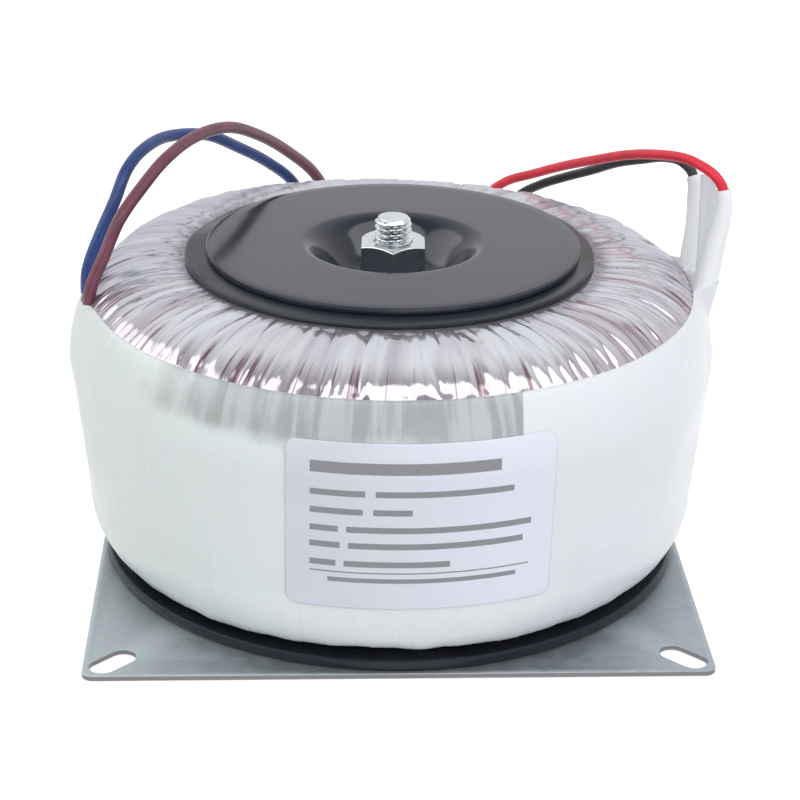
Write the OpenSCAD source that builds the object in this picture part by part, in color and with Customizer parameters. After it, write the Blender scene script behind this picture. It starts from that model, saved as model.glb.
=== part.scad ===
// Toroidal transformer on a square mounting plate.
// Origin: centre of the plate's underside, +Z up, millimetres.
// The wound ring lies flat between two pads. One bolt through its hole pulls a
// dished disc down onto it, and the bolt's head hides in a raised dish of the plate.

/* [Base plate] */
// Side of the square plate
plate_size = 160; // [150:1:200]
// Thickness of the plate's sheet
plate_t = 1.5; // [1:0.1:2.5]
// Corner radius of the plate
plate_corner_r = 3; // [1:0.5:8]
// Distance between slot centres along one side
slot_spacing = 145; // [138:1:145]
// Width of a mounting slot
slot_w = 7; // [4:0.5:8]
// End to end length of a mounting slot
slot_length = 13.5; // [10:0.5:15]
// Height that the plate's middle is raised for the bolt head
plate_dish_h = 10; // [8:0.5:14]
// Radius where the raised middle starts
plate_dish_r = 22; // [20:0.5:24]
// Radius of the flat on top of the raised middle
plate_seat_r = 11; // [10.5:0.5:13]

/* [Pads] */
// Diameter of the pad under the coil
lower_pad_d = 158; // [140:1:159]
// Thickness of the pad under the coil
lower_pad_t = 3; // [2:0.5:5]
// Diameter of the pad under the clamp disc
upper_pad_d = 110; // [104:1:116]
// Thickness of the pad under the clamp disc
upper_pad_t = 2; // [1:0.5:4]
// Radial room between a pad's hole and the dish that passes through it
pad_room = 1; // [0.5:0.5:2]

/* [Clamp disc] */
// Diameter of the disc
disc_d = 100; // [80:1:104]
// Thickness of the disc's sheet
disc_t = 2; // [1:0.1:3]
// Radius where the dish starts to roll over
dish_r = 25; // [22:0.5:28]
// Radius of the flat seat at the bottom of the dish
dish_seat_r = 11; // [10.5:0.5:13]
// Depth of the dish
dish_depth = 11.5; // [6:0.5:16]

/* [Coil] */
// Largest radius of the finished coil
coil_r = 86.5; // [82:0.5:95]
// Radius of the wall just above the lower corner
coil_foot_r = 82.8; // [80:0.2:86]
// Height of the finished coil
coil_h = 79.5; // [70:0.5:95]
// Radius of the hole through the finished coil
hole_r = 26; // [25:0.5:32]
// Radial width of the rounded shoulder
shoulder_w = 26.5; // [22:0.5:28]
// Height of the rounded shoulder
shoulder_h = 25.5; // [20:0.5:28]
// Radial width of the rounded foot
foot_w = 15.5; // [10:0.5:20]
// Height of the rounded foot
foot_h = 17.5; // [12:0.5:22]
// Radius of the two corners round the hole
hole_corner_r = 9; // [5:0.5:11]
// Fullness of shoulder and foot: 2 is an ellipse, more is squarer
fullness = 2.3; // [2:0.05:2.6]

/* [Core and windings] */
// Inner radius of the steel core
core_ri = 44; // [41:0.5:48]
// Outer radius of the steel core
core_ro = 74; // [66:0.5:75]
// Height of the steel core
core_h = 54; // [40:0.5:56]
// Thickness of the film round the core
core_wrap_t = 1; // [0.5:0.1:1.5]
// Thickness of the film between the windings, where the build is thinnest
between_wrap_t = 0.6; // [0.4:0.1:1]
// Share of the winding build that the outer winding takes
outer_share = 0.62; // [0.58:0.01:0.7]

/* [Outer film] */
// Thickness of the clear film over the whole coil
wrap_t = 0.8; // [0.5:0.1:1.2]
// Number of pleats in the film over the shoulder
pleats = 60; // [24:1:72]
// Height of a pleat above the film
pleat_h = 0.25; // [0.1:0.05:0.4]
// Widest angle of a pleat in degrees
pleat_angle = 3; // [1:0.5:4]
// Thickness of the milky band round the wall
band_t = 0.4; // [0.2:0.1:0.8]
// Height of the band's lower edge above the lower pad
band_low = 2.5; // [2:0.5:10]
// Drop of the band's upper edge below the coil's top
band_drop = 7.5; // [5.5:0.5:15.5]

/* [Label] */
// Width of the blank label
label_w = 66; // [30:1:80]
// Height of the blank label
label_h = 46; // [20:1:50]
// Thickness of the label
label_t = 0.15; // [0.1:0.05:0.4]
// Height of the label's middle above the lower pad
label_mid = 40; // [34:1:44]
// Compass angle of the label's middle
label_turn = -86; // [-120:1:-60]
// Corner radius of the label
label_corner_r = 3; // [1:0.5:6]

/* [Bolt, nut and washers] */
// Thread diameter of the bolt and nut
bolt_d = 10; // [8:0.5:10]
// Across-flats size of the bolt head and nut
hex_af = 17; // [15:0.5:17]
// Height of the bolt head
head_h = 6.4; // [5:0.1:7]
// Height of the nut
nut_h = 8; // [6:0.5:10]
// Turn of the nut about the bolt
nut_turn = 28; // [0:1:59]
// Length of bolt that stands out of the nut
bolt_end = 6.3; // [3:0.1:12]
// Chamfer on the bolt's end
bolt_chamfer = 0.8; // [0.4:0.1:1.2]
// Diameter of the flat washer
washer_d = 20; // [18:0.5:20.5]
// Thickness of the flat washer
washer_t = 2; // [1:0.1:2.5]
// Outer diameter of the spring washer
spring_d = 17.6; // [16:0.1:18]
// Thickness of the spring washer
spring_t = 2.2; // [1.5:0.1:2.6]
// Radial room round the bolt in the disc and the plate
bolt_room = 0.5; // [0.2:0.1:0.8]
// Radial room round the bolt in both washers
washer_room = 0.25; // [0.1:0.05:0.4]
// Radial room of the nut's thread
thread_room = 0.05; // [0.05:0.05:0.15]

/* [Leads] */
// Diameter of the two primary leads
primary_d = 3.4; // [2.6:0.1:4]
// Diameter of the two secondary leads
secondary_d = 2.8; // [2:0.1:3]
// Outer diameter of the white sleeves
sleeve_d = 4.4; // [4:0.1:5]
// Radial room between a lead and its sleeve or pocket
lead_room = 0.1; // [0.1:0.05:0.3]
// Diameter of the bare strands at a lead's end
strand_d = 1.8; // [1:0.1:1.9]
// Length of the bare strands
strand_l = 8; // [4:1:12]

/* [Hidden] */
$fn = 96;

// The stack from the floor up
pad_top = plate_t + lower_pad_t;
coil_top = pad_top + coil_h;
disc_under = coil_top + upper_pad_t;
disc_top = disc_under + disc_t;
seat_top = disc_top - dish_depth;
washer_top = seat_top + washer_t;
nut_base = washer_top + spring_t;
nut_top = nut_base + nut_h;
bolt_top = nut_top + bolt_end;
coil_mid = pad_top + coil_h / 2;
band_top = coil_top - band_drop;
// Steps along a rounded corner and along a dish
corner_steps = 9;
dish_steps = 12;
// A cut runs this far past the face that it starts from
past = 1;
edge_round = 0.4;
chamfer_angle = 30;

// The routes are drawn on a coil 86.5 in radius with its top at 84. On another coil each
// point keeps its distance from the wall and the top, and the loose ends stay on the floor
function laid_on_coil(route) = [
    for (p = route)
        let (k = 1 + (coil_r - 86.5) / norm([p.x, p.y]),
             rise = min(1, max(0, (p.z - 2) / 63)))
        [p.x * k, p.y * k, p.z + (coil_top - 84) * rise]];

// Routes of the leads, from the bottom of their pockets in the coil to the strands
blue_route = laid_on_coil([
    [-82.5, 2, 65], [-82.5, 2.5, 72], [-82, 3, 79], [-78.7, 7, 87.5], [-75, 12.5, 95],
    [-72, 20, 101.5], [-68, 29, 104.5], [-62, 42, 104.3], [-51.7, 57, 100.2], [-42.6, 70, 92.3],
    [-34.4, 81, 84.3], [-27, 89, 75.4], [-23, 94, 63], [-20, 97, 49], [-18, 98, 35],
    [-17, 99, 21], [-19, 102, 9], [-26, 109, 3], [-37, 116, 1.8], [-50, 119, 1.8]]);
brown_route = laid_on_coil([
    [-81, -14, 65], [-80.5, -13.5, 72], [-80, -13, 79], [-76.2, -9.5, 87.7], [-72.6, -4, 95.2],
    [-67.2, 5, 101.1], [-61, 16, 106], [-53.5, 31, 107.7], [-45, 47, 105.5], [-36.7, 62, 98.6],
    [-28.4, 76, 89.3], [-20.4, 87, 78.8], [-15, 94, 66], [-11, 97, 52], [-9, 98, 38],
    [-8, 99, 24], [-8, 102, 10], [-11, 110, 3], [-20, 120, 1.8], [-34, 126, 1.8]]);
red_route = laid_on_coil([
    [82, 0, 65], [83.5, 0, 72], [85, 0, 79], [87, 0, 87.5], [88.5, 0, 96], [88, 0, 102.5],
    [86, 2, 105.6], [82.6, 6.5, 107.2], [79, 12, 107.5], [73, 22, 105.4], [66.5, 34, 101.5],
    [59.5, 46, 96.3], [52, 58, 90.7], [44.5, 69, 84.8], [37, 79, 79], [31, 87, 71],
    [26.5, 93, 60], [24, 96.5, 46], [22, 98, 32], [21, 99, 18], [22.5, 104, 7],
    [30, 112, 1.5], [42, 118, 1.5], [55, 121, 1.5]]);
black_route = laid_on_coil([
    [81, 13, 65], [81.5, 14, 72], [82, 15, 79], [83, 16.5, 86], [83.5, 18.5, 93],
    [83.5, 20.5, 99.5], [81, 25, 102.2], [77, 31.5, 101.6], [72, 39, 98.7], [66, 48.5, 94.6],
    [60, 57.5, 89.5], [53.5, 66, 84.7], [47, 74, 79.7], [41, 81.5, 73.3], [36.5, 87, 62.5],
    [34.8, 90.3, 48.5], [34, 92, 32], [34, 94, 18], [36, 98, 7], [42, 106, 1.5],
    [53, 112, 1.5], [67, 115, 1.5]]);
// Points of a secondary route that lie in its sleeve
sleeve_points = 6;
lead_sides = 8;

// Rounded corner from angle a to b, as part of a superellipse of half widths rx and rz
function corner(cx, cz, rx, rz, a, b, n) = [
    for (i = [0:corner_steps])
        let (t = a + (b - a) * i / corner_steps)
        [cx + rx * sign(cos(t)) * pow(abs(cos(t)), 2 / n),
         cz + rz * sign(sin(t)) * pow(abs(sin(t)), 2 / n)]];

// Section of the coil, grown by d on every side: a full shoulder, a tighter foot
function coil_section(d) = concat(
    corner(hole_r + hole_corner_r, pad_top + hole_corner_r,
           hole_corner_r + d, hole_corner_r + d, 180, 270, 2),
    corner(coil_foot_r - foot_w, pad_top + foot_h, foot_w + d, foot_h + d, 270, 360, fullness),
    corner(coil_r - shoulder_w, coil_top - shoulder_h, shoulder_w + d, shoulder_h + d,
           0, 90, fullness),
    corner(hole_r + hole_corner_r, coil_top - hole_corner_r,
           hole_corner_r + d, hole_corner_r + d, 90, 180, 2));

// Section of the core, grown by d, with as many points as the coil's section
function core_section(d) =
    let (e = 1 + d, x0 = core_ri + 1, x1 = core_ro - 1, h = core_h / 2 - 1)
    concat(corner(x0, coil_mid - h, e, e, 180, 270, 2),
           corner(x1, coil_mid - h, e, e, 270, 360, 2),
           corner(x1, coil_mid + h, e, e, 0, 90, 2),
           corner(x0, coil_mid + h, e, e, 90, 180, 2));

// Section between the film's inside (share 0) and the wrapped core (share 1)
function build_section(share) =
    let (outside = coil_section(-wrap_t), inside = core_section(core_wrap_t))
    [for (i = [0:len(outside) - 1]) outside[i] * (1 - share) + inside[i] * share];

// Thinnest build lies over the core's upper outer corner
function thinnest_build() =
    let (outside = coil_section(-wrap_t), inside = core_section(core_wrap_t))
    min([for (i = [0:len(outside) - 1]) norm(outside[i] - inside[i])]);

// Height of a pressed dish at radius r, and its slope there
function press(r, r_in, r_out, h) =
    r <= r_in ? h : r >= r_out ? 0 : h * (1 + cos(180 * (r - r_in) / (r_out - r_in))) / 2;
function press_slope(r, r_in, r_out, h) =
    r <= r_in || r >= r_out ? 0
    : -h * PI * sin(180 * (r - r_in) / (r_out - r_in)) / (2 * (r_out - r_in));

// Section of a pressed sheet with even thickness: face at z, raised by h in the middle
function pressed_sheet(hole, r_in, r_out, edge, z, h, t, under) =
    let (rs = [for (i = [0:dish_steps]) r_in + (r_out - r_in) * i / dish_steps],
         face = [for (r = rs) [r, z + press(r, r_in, r_out, h)]],
         back = [for (i = [dish_steps:-1:0])
                     let (m = press_slope(rs[i], r_in, r_out, h), k = sqrt(1 + m * m))
                     face[i] + under * t * [-m, 1] / k])
    concat([[hole, z + h]], face, [[edge, z], [edge, z + under * t]], back,
           [[hole, z + h + under * t]]);

// Frame of a tube at point i of a route: the two axes of its ring
function route_dir(p, i) =
    let (a = p[max(i - 1, 0)], b = p[min(i + 1, len(p) - 1)]) (b - a) / norm(b - a);
function carried(p, i) =
    i == 0 ? start_axis(route_dir(p, 0))
    : let (w = carried(p, i - 1), d = route_dir(p, i), v = w - d * (w * d)) v / norm(v);
function start_axis(d) = let (v = cross(d, [0, 1, 0])) v / norm(v);
function ring(p, i, r) =
    let (u = carried(p, i), v = cross(route_dir(p, i), u))
    [for (k = [0:lead_sides - 1])
        let (t = 360 * k / lead_sides) p[i] + r * (cos(t) * u + sin(t) * v)];
function strand_end(p) =
    let (n = len(p) - 1, d = (p[n] - p[n - 1]) / norm(p[n] - p[n - 1])) p[n] + strand_l * d;

// Solid tube along a route
module tube(p, r) {
    n = len(p);
    s = lead_sides;
    points = [for (i = [0:n - 1]) each ring(p, i, r)];
    sides = [for (i = [0:n - 2]) for (k = [0:s - 1])
                [i * s + k, i * s + (k + 1) % s, (i + 1) * s + (k + 1) % s, (i + 1) * s + k]];
    start = [for (k = [s - 1:-1:0]) k];
    end = [for (k = [0:s - 1]) (n - 1) * s + k];
    polyhedron(points, concat([start], sides, [end]), convexity = 6);
}

// Hollow tube along the first n points of a route, open at both ends
module sleeve(p, n, r, bore) {
    s = lead_sides;
    m = n * s;
    points = concat([for (i = [0:n - 1]) each ring(p, i, r)],
                    [for (i = [0:n - 1]) each ring(p, i, bore)]);
    outside = [for (i = [0:n - 2]) for (k = [0:s - 1])
                  [i * s + k, i * s + (k + 1) % s, (i + 1) * s + (k + 1) % s, (i + 1) * s + k]];
    inside = [for (f = outside) [for (j = [3:-1:0]) m + f[j]]];
    rims = [for (k = [0:s - 1]) each
               [[k, m + k, m + (k + 1) % s, (k + 1) % s],
                [(n - 1) * s + k, (n - 1) * s + (k + 1) % s,
                 m + (n - 1) * s + (k + 1) % s, m + (n - 1) * s + k]]];
    polyhedron(points, concat(outside, inside, rims), convexity = 6);
}

// Round pockets in the shoulder that the four leads come out of
module lead_pockets() {
    pocket(blue_route, primary_d);
    pocket(brown_route, primary_d);
    pocket(red_route, sleeve_d);
    pocket(black_route, sleeve_d);
}

module pocket(p, d) {
    rise = p[1] - p[0];
    tilt = atan2(norm([rise.x, rise.y]), rise.z);
    translate(p[0])
        rotate([0, tilt, atan2(rise.y, rise.x)])
            cylinder(h = coil_top - p[0].z, d = d + 2 * lead_room);
}

// Ring with a square section and rounded rims
module pad(inner, outer, z, t) {
    rotate_extrude()
        polygon([[inner, z], [outer - edge_round, z], [outer, z + edge_round],
                 [outer, z + t - edge_round], [outer - edge_round, z + t], [inner, z + t]]);
}

// Hexagon with its corners chamfered at the top, and at the bottom too if both is true
module hexagon(h, both) {
    corner_r = hex_af / sqrt(3);
    drop = (corner_r - hex_af / 2) * tan(chamfer_angle);
    low = both ? drop : 0;
    low_r = both ? hex_af / 2 : corner_r;
    intersection() {
        cylinder(h = h, r = corner_r, $fn = 6);
        rotate_extrude()
            polygon([[0, 0], [low_r, 0], [corner_r, low], [corner_r, h - drop],
                     [hex_af / 2, h], [0, h]]);
    }
}

// Galvanised plate: rounded corners, slots that point at the centre, raised middle
module base_plate() {
    rim = plate_dish_r + past;
    color([0.64, 0.69, 0.72]) {
        difference() {
            linear_extrude(plate_t) difference() {
                plate_outline();
                circle(r = rim);
            }
            for (turn = [45:90:315]) rotate(turn) slot();
        }
        rotate_extrude()
            polygon(pressed_sheet(bolt_d / 2 + bolt_room, plate_seat_r, plate_dish_r, rim,
                                  plate_t, plate_dish_h, plate_t, -1));
    }
}

module plate_outline() {
    reach = plate_size / 2 - plate_corner_r;
    square([plate_size, 2 * reach], center = true);
    square([2 * reach, plate_size], center = true);
    for (x = [-reach, reach]) for (y = [-reach, reach])
        translate([x, y]) circle(r = plate_corner_r);
}

module slot() {
    straight = slot_length - slot_w;
    translate([slot_spacing / sqrt(2), 0, -past]) {
        translate([-straight / 2, -slot_w / 2, 0]) cube([straight, slot_w, plate_t + 2 * past]);
        for (x = [-straight / 2, straight / 2])
            translate([x, 0, 0]) cylinder(h = plate_t + 2 * past, d = slot_w);
    }
}

module lower_pad() {
    color([0.14, 0.16, 0.18])
        pad(plate_dish_r + pad_room, lower_pad_d / 2, plate_t, lower_pad_t);
}

module core() {
    color([0.45, 0.46, 0.48])
        rotate_extrude() polygon(core_section(0));
}

module core_wrap() {
    color([0.85, 0.82, 0.65])
        rotate_extrude() layer(core_section(core_wrap_t), core_section(0));
}

// One closed layer: what lies between two sections
module layer(outside, inside) {
    difference() {
        polygon(outside);
        polygon(inside);
    }
}

module primary_winding() {
    color([0.72, 0.38, 0.22])
        rotate_extrude() layer(build_section(between_end()), core_section(core_wrap_t));
}

function between_end() = outer_share + between_wrap_t / thinnest_build();

module interwinding_wrap() {
    color([0.9, 0.8, 0.45])
        rotate_extrude() layer(build_section(outer_share), build_section(between_end()));
}

module secondary_winding() {
    color([0.76, 0.46, 0.36])
        difference() {
            rotate_extrude() layer(build_section(0), build_section(outer_share));
            lead_pockets();
        }
}

// Clear film over the whole coil, with pleats like spokes between the pad and the band
module outer_wrap() {
    color([0.82, 0.8, 0.82])
        difference() {
            union() {
                rotate_extrude() layer(coil_section(0), coil_section(-wrap_t));
                for (i = [0:pleats - 1]) pleat(i);
            }
            lead_pockets();
        }
}

// Pleats vary in width and wander a little from an even spacing
module pleat(i) {
    wander = 0.25 * sin(i * 137.5);
    width = pleat_angle * (0.6 + 0.4 * abs(sin(i * 77)));
    inner = upper_pad_d / 2 + past;
    rotate((i + wander) * 360 / pleats)
        rotate_extrude(angle = width)
            intersection() {
                layer(coil_section(pleat_h), coil_section(-wrap_t / 2));
                translate([inner, band_top + past / 2])
                    square([coil_r - inner, coil_h]);
            }
}

// Milky band shrunk onto the wall, from the foot up over the lower shoulder
module side_band() {
    color([0.86, 0.89, 0.91])
        difference() {
            rotate_extrude() band_section(0, band_t);
            lead_pockets();
        }
}

module band_section(from, t) {
    intersection() {
        layer(coil_section(from + t), coil_section(from));
        translate([coil_r / 2, pad_top + band_low])
            square([coil_r, band_top - pad_top - band_low]);
    }
}

// Blank label that follows the band's curve
module label() {
    color([0.93, 0.93, 0.97])
        intersection() {
            rotate_extrude() band_section(band_t, label_t);
            translate([0, 0, pad_top + label_mid])
                rotate([90, 0, label_turn + 90])
                    linear_extrude(coil_r + past) label_outline();
        }
}

module label_outline() {
    x = label_w / 2 - label_corner_r;
    y = label_h / 2 - label_corner_r;
    square([label_w, 2 * y], center = true);
    square([2 * x, label_h], center = true);
    for (u = [-x, x]) for (v = [-y, y])
        translate([u, v]) circle(r = label_corner_r);
}

module upper_pad() {
    color([0.25, 0.27, 0.3])
        pad(dish_r + pad_room, upper_pad_d / 2, coil_top, upper_pad_t);
}

// Pressed steel disc: flat rim and a smooth dish down to the bolt's seat
module clamp_disc() {
    color([0.2, 0.21, 0.23])
        rotate_extrude()
            polygon(pressed_sheet(bolt_d / 2 + bolt_room, dish_seat_r, dish_r, disc_d / 2,
                                  disc_top, -dish_depth, disc_t, -1));
}

module flat_washer() {
    color([0.8, 0.82, 0.84])
        translate([0, 0, seat_top])
            difference() {
                cylinder(h = washer_t, d = washer_d);
                translate([0, 0, -past])
                    cylinder(h = washer_t + 2 * past, d = bolt_d + 2 * washer_room);
            }
}

// Split lock washer, drawn pressed flat
module spring_washer() {
    inner = bolt_d / 2 + washer_room;
    color([0.78, 0.8, 0.82])
        rotate(nut_turn)
            rotate_extrude(angle = 352)
                translate([inner, washer_top])
                    square([spring_d / 2 - inner, spring_t]);
}

module hex_nut() {
    bore = bolt_d / 2 + thread_room;
    color([0.82, 0.84, 0.86])
        translate([0, 0, nut_base])
            difference() {
                rotate(nut_turn) hexagon(nut_h, true);
                translate([0, 0, -past]) cylinder(h = nut_h + 2 * past, r = bore);
            }
}

// Bolt: its head is under the plate's raised middle, its end stands out of the nut
module clamp_bolt() {
    r = bolt_d / 2;
    color([0.82, 0.84, 0.86]) {
        translate([0, 0, plate_dish_h]) mirror([0, 0, 1]) rotate(nut_turn) hexagon(head_h, false);
        rotate_extrude()
            polygon([[0, plate_dish_h - past], [r, plate_dish_h - past],
                     [r, bolt_top - bolt_chamfer], [r - bolt_chamfer, bolt_top], [0, bolt_top]]);
    }
}

module blue_lead() {
    color([0.12, 0.25, 0.55]) tube(blue_route, primary_d / 2);
}

module brown_lead() {
    color([0.42, 0.2, 0.26]) tube(brown_route, primary_d / 2);
}

module red_lead() {
    color([0.8, 0.1, 0.15]) tube(red_route, secondary_d / 2);
}

module black_lead() {
    color([0.08, 0.08, 0.09]) tube(black_route, secondary_d / 2);
}

// Sleeves share the rings of the leads that run inside them
module red_sleeve() {
    color([0.9, 0.91, 0.93])
        sleeve(red_route, sleeve_points, sleeve_d / 2, secondary_d / 2 + lead_room);
}

module black_sleeve() {
    color([0.9, 0.91, 0.93])
        sleeve(black_route, sleeve_points, sleeve_d / 2, secondary_d / 2 + lead_room);
}

// Bare tinned strands beyond the last point of a route
module tip(p) {
    color([0.75, 0.76, 0.78]) tube([p[len(p) - 1], strand_end(p)], strand_d / 2);
}

module blue_tip() {
    tip(blue_route);
}

module brown_tip() {
    tip(brown_route);
}

module red_tip() {
    tip(red_route);
}

module black_tip() {
    tip(black_route);
}

base_plate();
lower_pad();
core();
core_wrap();
primary_winding();
interwinding_wrap();
secondary_winding();
outer_wrap();
side_band();
label();
upper_pad();
clamp_disc();
flat_washer();
spring_washer();
hex_nut();
clamp_bolt();
blue_lead();
brown_lead();
red_lead();
black_lead();
red_sleeve();
black_sleeve();
blue_tip();
brown_tip();
red_tip();
black_tip();
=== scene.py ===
# %% [markdown]
# # A toroidal transformer, dressed
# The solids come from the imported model: a wound ring between two rubber pads, a pressed disc, one
# bolt, a square plate and four leads. This notebook gives them their finish. Film that is wound
# through a ring wrinkles, sheet steel has a spangle and a sheared edge, and a bolt has a thread, so
# those pieces are made again here as finer meshes that stand exactly where the solids stand.
# Shapes are given in millimetres, and the helpers turn them into Blender's metres. Only a material's
# own places on the object are in metres, because the shader reads them so.

# %% Load the frame
import math

import bmesh
import bpy
import numpy as np
from mathutils import Matrix, Vector


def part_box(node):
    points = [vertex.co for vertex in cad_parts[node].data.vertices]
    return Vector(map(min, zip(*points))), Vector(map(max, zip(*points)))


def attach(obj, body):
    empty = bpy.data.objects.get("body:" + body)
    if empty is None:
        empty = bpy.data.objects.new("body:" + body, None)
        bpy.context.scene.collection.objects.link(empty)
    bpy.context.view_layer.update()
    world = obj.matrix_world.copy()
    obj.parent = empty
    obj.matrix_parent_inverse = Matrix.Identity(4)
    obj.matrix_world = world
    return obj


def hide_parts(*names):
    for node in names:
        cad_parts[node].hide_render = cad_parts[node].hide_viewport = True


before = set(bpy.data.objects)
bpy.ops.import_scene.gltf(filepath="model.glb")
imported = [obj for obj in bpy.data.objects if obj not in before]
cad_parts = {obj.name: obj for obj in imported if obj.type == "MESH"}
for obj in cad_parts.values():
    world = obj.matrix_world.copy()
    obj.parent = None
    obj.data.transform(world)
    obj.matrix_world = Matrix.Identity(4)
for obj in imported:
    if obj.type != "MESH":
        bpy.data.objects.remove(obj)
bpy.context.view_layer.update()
MM = 0.001

# %% [markdown]
# ## The camera
# A product shot of a part this size is taken from about 0.65 m with a long lens, so that the round
# disc doesn't look stretched. A camera can be turned by three angles, but they are hard to read. It
# is set here by where it stands, which way it looks and which way is up, and those directions are
# the columns of its matrix.

# %% Camera
CAMERA_AT = Vector((-0.0240, -0.5788, 0.2931))
CAMERA_LOOKS = Vector((0.0419012, 0.9163718, -0.3981295))
CAMERA_UP = Vector((0.0037467, 0.3983325, 0.9172334))
FOCAL_LENGTH, SENSOR_WIDTH = 103.0, 36.0


def add_object(name, data):
    """A new object in the scene for a mesh, a curve, a lamp or a lens."""
    made = bpy.data.objects.new(name, data)
    bpy.context.scene.collection.objects.link(made)
    return made


lens = bpy.data.cameras.new("studio_camera")
lens.lens, lens.sensor_width = FOCAL_LENGTH, SENSOR_WIDTH
camera = add_object("studio_camera", lens)
camera_right = CAMERA_LOOKS.cross(CAMERA_UP).normalized()
axes = Matrix((camera_right, CAMERA_UP, -CAMERA_LOOKS)).transposed()
camera.matrix_world = Matrix.Translation(CAMERA_AT) @ axes.to_4x4()
bpy.context.scene.camera = camera
bpy.context.scene.view_settings.view_transform = "Standard"
print("camera stands", round(CAMERA_AT.length, 3), "m from the plate's centre")

# %% [markdown]
# ## Helpers for node trees
# Every finish below is a tree of nodes. A tree can be drawn by hand in the editor, but in a script
# each node and link is a line of its own and soon hides what the tree does. So a few small helpers
# keep it readable: `put` adds a node and wires its inputs in one line, and `calc` adds one step of
# arithmetic. An input that is given another node's output becomes a link, and anything else becomes
# a value.

# %% Node helpers
def put(tree, kind, inputs=None, **settings):
    made = tree.nodes.new(kind)
    for name, value in settings.items():
        setattr(made, name, value)
    for key, value in (inputs or {}).items():
        if isinstance(value, bpy.types.NodeSocket):
            tree.links.new(value, made.inputs[key])
        else:
            made.inputs[key].default_value = value
    return made


def calc(tree, operation, *values, clamp=False):
    made = put(tree, "ShaderNodeMath", dict(enumerate(values)), operation=operation)
    made.use_clamp = clamp
    return made.outputs[0]


def plus(tree, first, second):
    return calc(tree, "ADD", first, second)


def minus(tree, first, second):
    return calc(tree, "SUBTRACT", first, second)


def times(tree, first, second):
    return calc(tree, "MULTIPLY", first, second)


def ramp(tree, value, low, high, to_low=0.0, to_high=1.0):
    """The value moved from one range to another, with soft ends."""
    ends = {0: value, 1: low, 2: high, 3: to_low, 4: to_high}
    return put(tree, "ShaderNodeMapRange", ends, interpolation_type="SMOOTHSTEP").outputs[0]


def tint(tree, share, first, second):
    """A colour between two: the first where the share is 0, the second where it is 1."""
    made = put(tree, "ShaderNodeMix", {0: share}, data_type="RGBA")
    for key, value in ((6, first), (7, second)):
        if isinstance(value, bpy.types.NodeSocket):
            tree.links.new(value, made.inputs[key])
        else:
            made.inputs[key].default_value = (*value, 1.0)
    return made.outputs[2]


print("node helpers ready")

# %% [markdown]
# Many patterns need a point's own place on the object: its X, Y and Z, its distance from the axis,
# and noise that runs round the axis. Noise on the plain angle would have a seam where the angle
# jumps from one end of its range to the other, so the angle goes in as a point on a circle.

# %% Place on the object
def split(tree, vector):
    return put(tree, "ShaderNodeSeparateXYZ", {0: vector}).outputs


def object_place(tree):
    return put(tree, "ShaderNodeTexCoord").outputs["Object"]


def from_axis(tree, place):
    """Distance from the Z axis."""
    return calc(tree, "SQRT", plus(tree, times(tree, place["X"], place["X"]),
                                   times(tree, place["Y"], place["Y"])))


def noise_round(tree, angle, along, count, stretch, detail, seed=0.0):
    """Noise that closes on itself round the axis and is drawn out along the winding."""
    spot = put(tree, "ShaderNodeCombineXYZ", {
        "X": times(tree, calc(tree, "COSINE", angle), count),
        "Y": times(tree, calc(tree, "SINE", angle), count),
        "Z": plus(tree, times(tree, along, stretch), seed)}).outputs[0]
    inputs = {"Vector": spot, "Scale": 1.0, "Detail": detail}
    return put(tree, "ShaderNodeTexNoise", inputs).outputs["Fac"]


print("place helpers ready")

# %% [markdown]
# ## Effects that several finishes share
# Three effects come back on many pieces, so each is a node group that is built once and placed with
# other numbers. *Fine grain* is the small unevenness that every real surface has. *Specks* is a
# scatter of dust or pinholes. *Streaks round the axis* is made for this object: wires, film and band
# all run through the hole of the ring, so their marks are long along the winding and narrow round
# the axis. For the way along the winding, radius minus height does on the top, the shoulder and the
# wall alike.

# %% Shared node groups
SPECK_PATCHES, SPECKS_WHERE = 60.0, 0.6


def new_group(name, numbers, output):
    group = bpy.data.node_groups.new(name, "ShaderNodeTree")
    for label, value in numbers.items():
        made = group.interface.new_socket(label, in_out="INPUT", socket_type="NodeSocketFloat")
        made.default_value = value
    group.interface.new_socket(output, in_out="OUTPUT", socket_type="NodeSocketFloat")
    return group, group.nodes.new("NodeGroupInput").outputs


def use_group(tree, group, **numbers):
    made = put(tree, "ShaderNodeGroup", node_tree=group)
    for label, value in numbers.items():
        made.inputs[label].default_value = value
    return made.outputs[0]


grain_group, given = new_group("fine_grain", {"Scale": 900.0, "Detail": 4.0}, "Height")
noise = put(grain_group, "ShaderNodeTexNoise", {
    "Vector": object_place(grain_group), "Scale": given["Scale"], "Detail": given["Detail"]})
put(grain_group, "NodeGroupOutput", {0: noise.outputs["Fac"]})

speck_group, given = new_group("specks", {"Scale": 300.0, "Size": 0.12}, "Mask")
place = object_place(speck_group)
cells = put(speck_group, "ShaderNodeTexVoronoi", {"Vector": place, "Scale": given["Scale"]})
patches = put(speck_group, "ShaderNodeTexNoise", {"Vector": place, "Scale": SPECK_PATCHES})
near = calc(speck_group, "LESS_THAN", cells.outputs["Distance"], given["Size"])
kept = calc(speck_group, "GREATER_THAN", patches.outputs["Fac"], SPECKS_WHERE)
put(speck_group, "NodeGroupOutput", {0: times(speck_group, near, kept)})

streak_group, given = new_group(
    "streaks_round_the_axis", {"Count": 20.0, "Stretch": 20.0, "Slant": 0.0, "Detail": 2.0}, "Value")
place = split(streak_group, object_place(streak_group))
along = minus(streak_group, from_axis(streak_group, place), place["Z"])
angle = plus(streak_group, calc(streak_group, "ARCTAN2", place["Y"], place["X"]),
             times(streak_group, along, given["Slant"]))
put(streak_group, "NodeGroupOutput", {0: noise_round(
    streak_group, angle, along, given["Count"], given["Stretch"], given["Detail"])})
print("groups:", grain_group.name, speck_group.name, streak_group.name)

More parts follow.
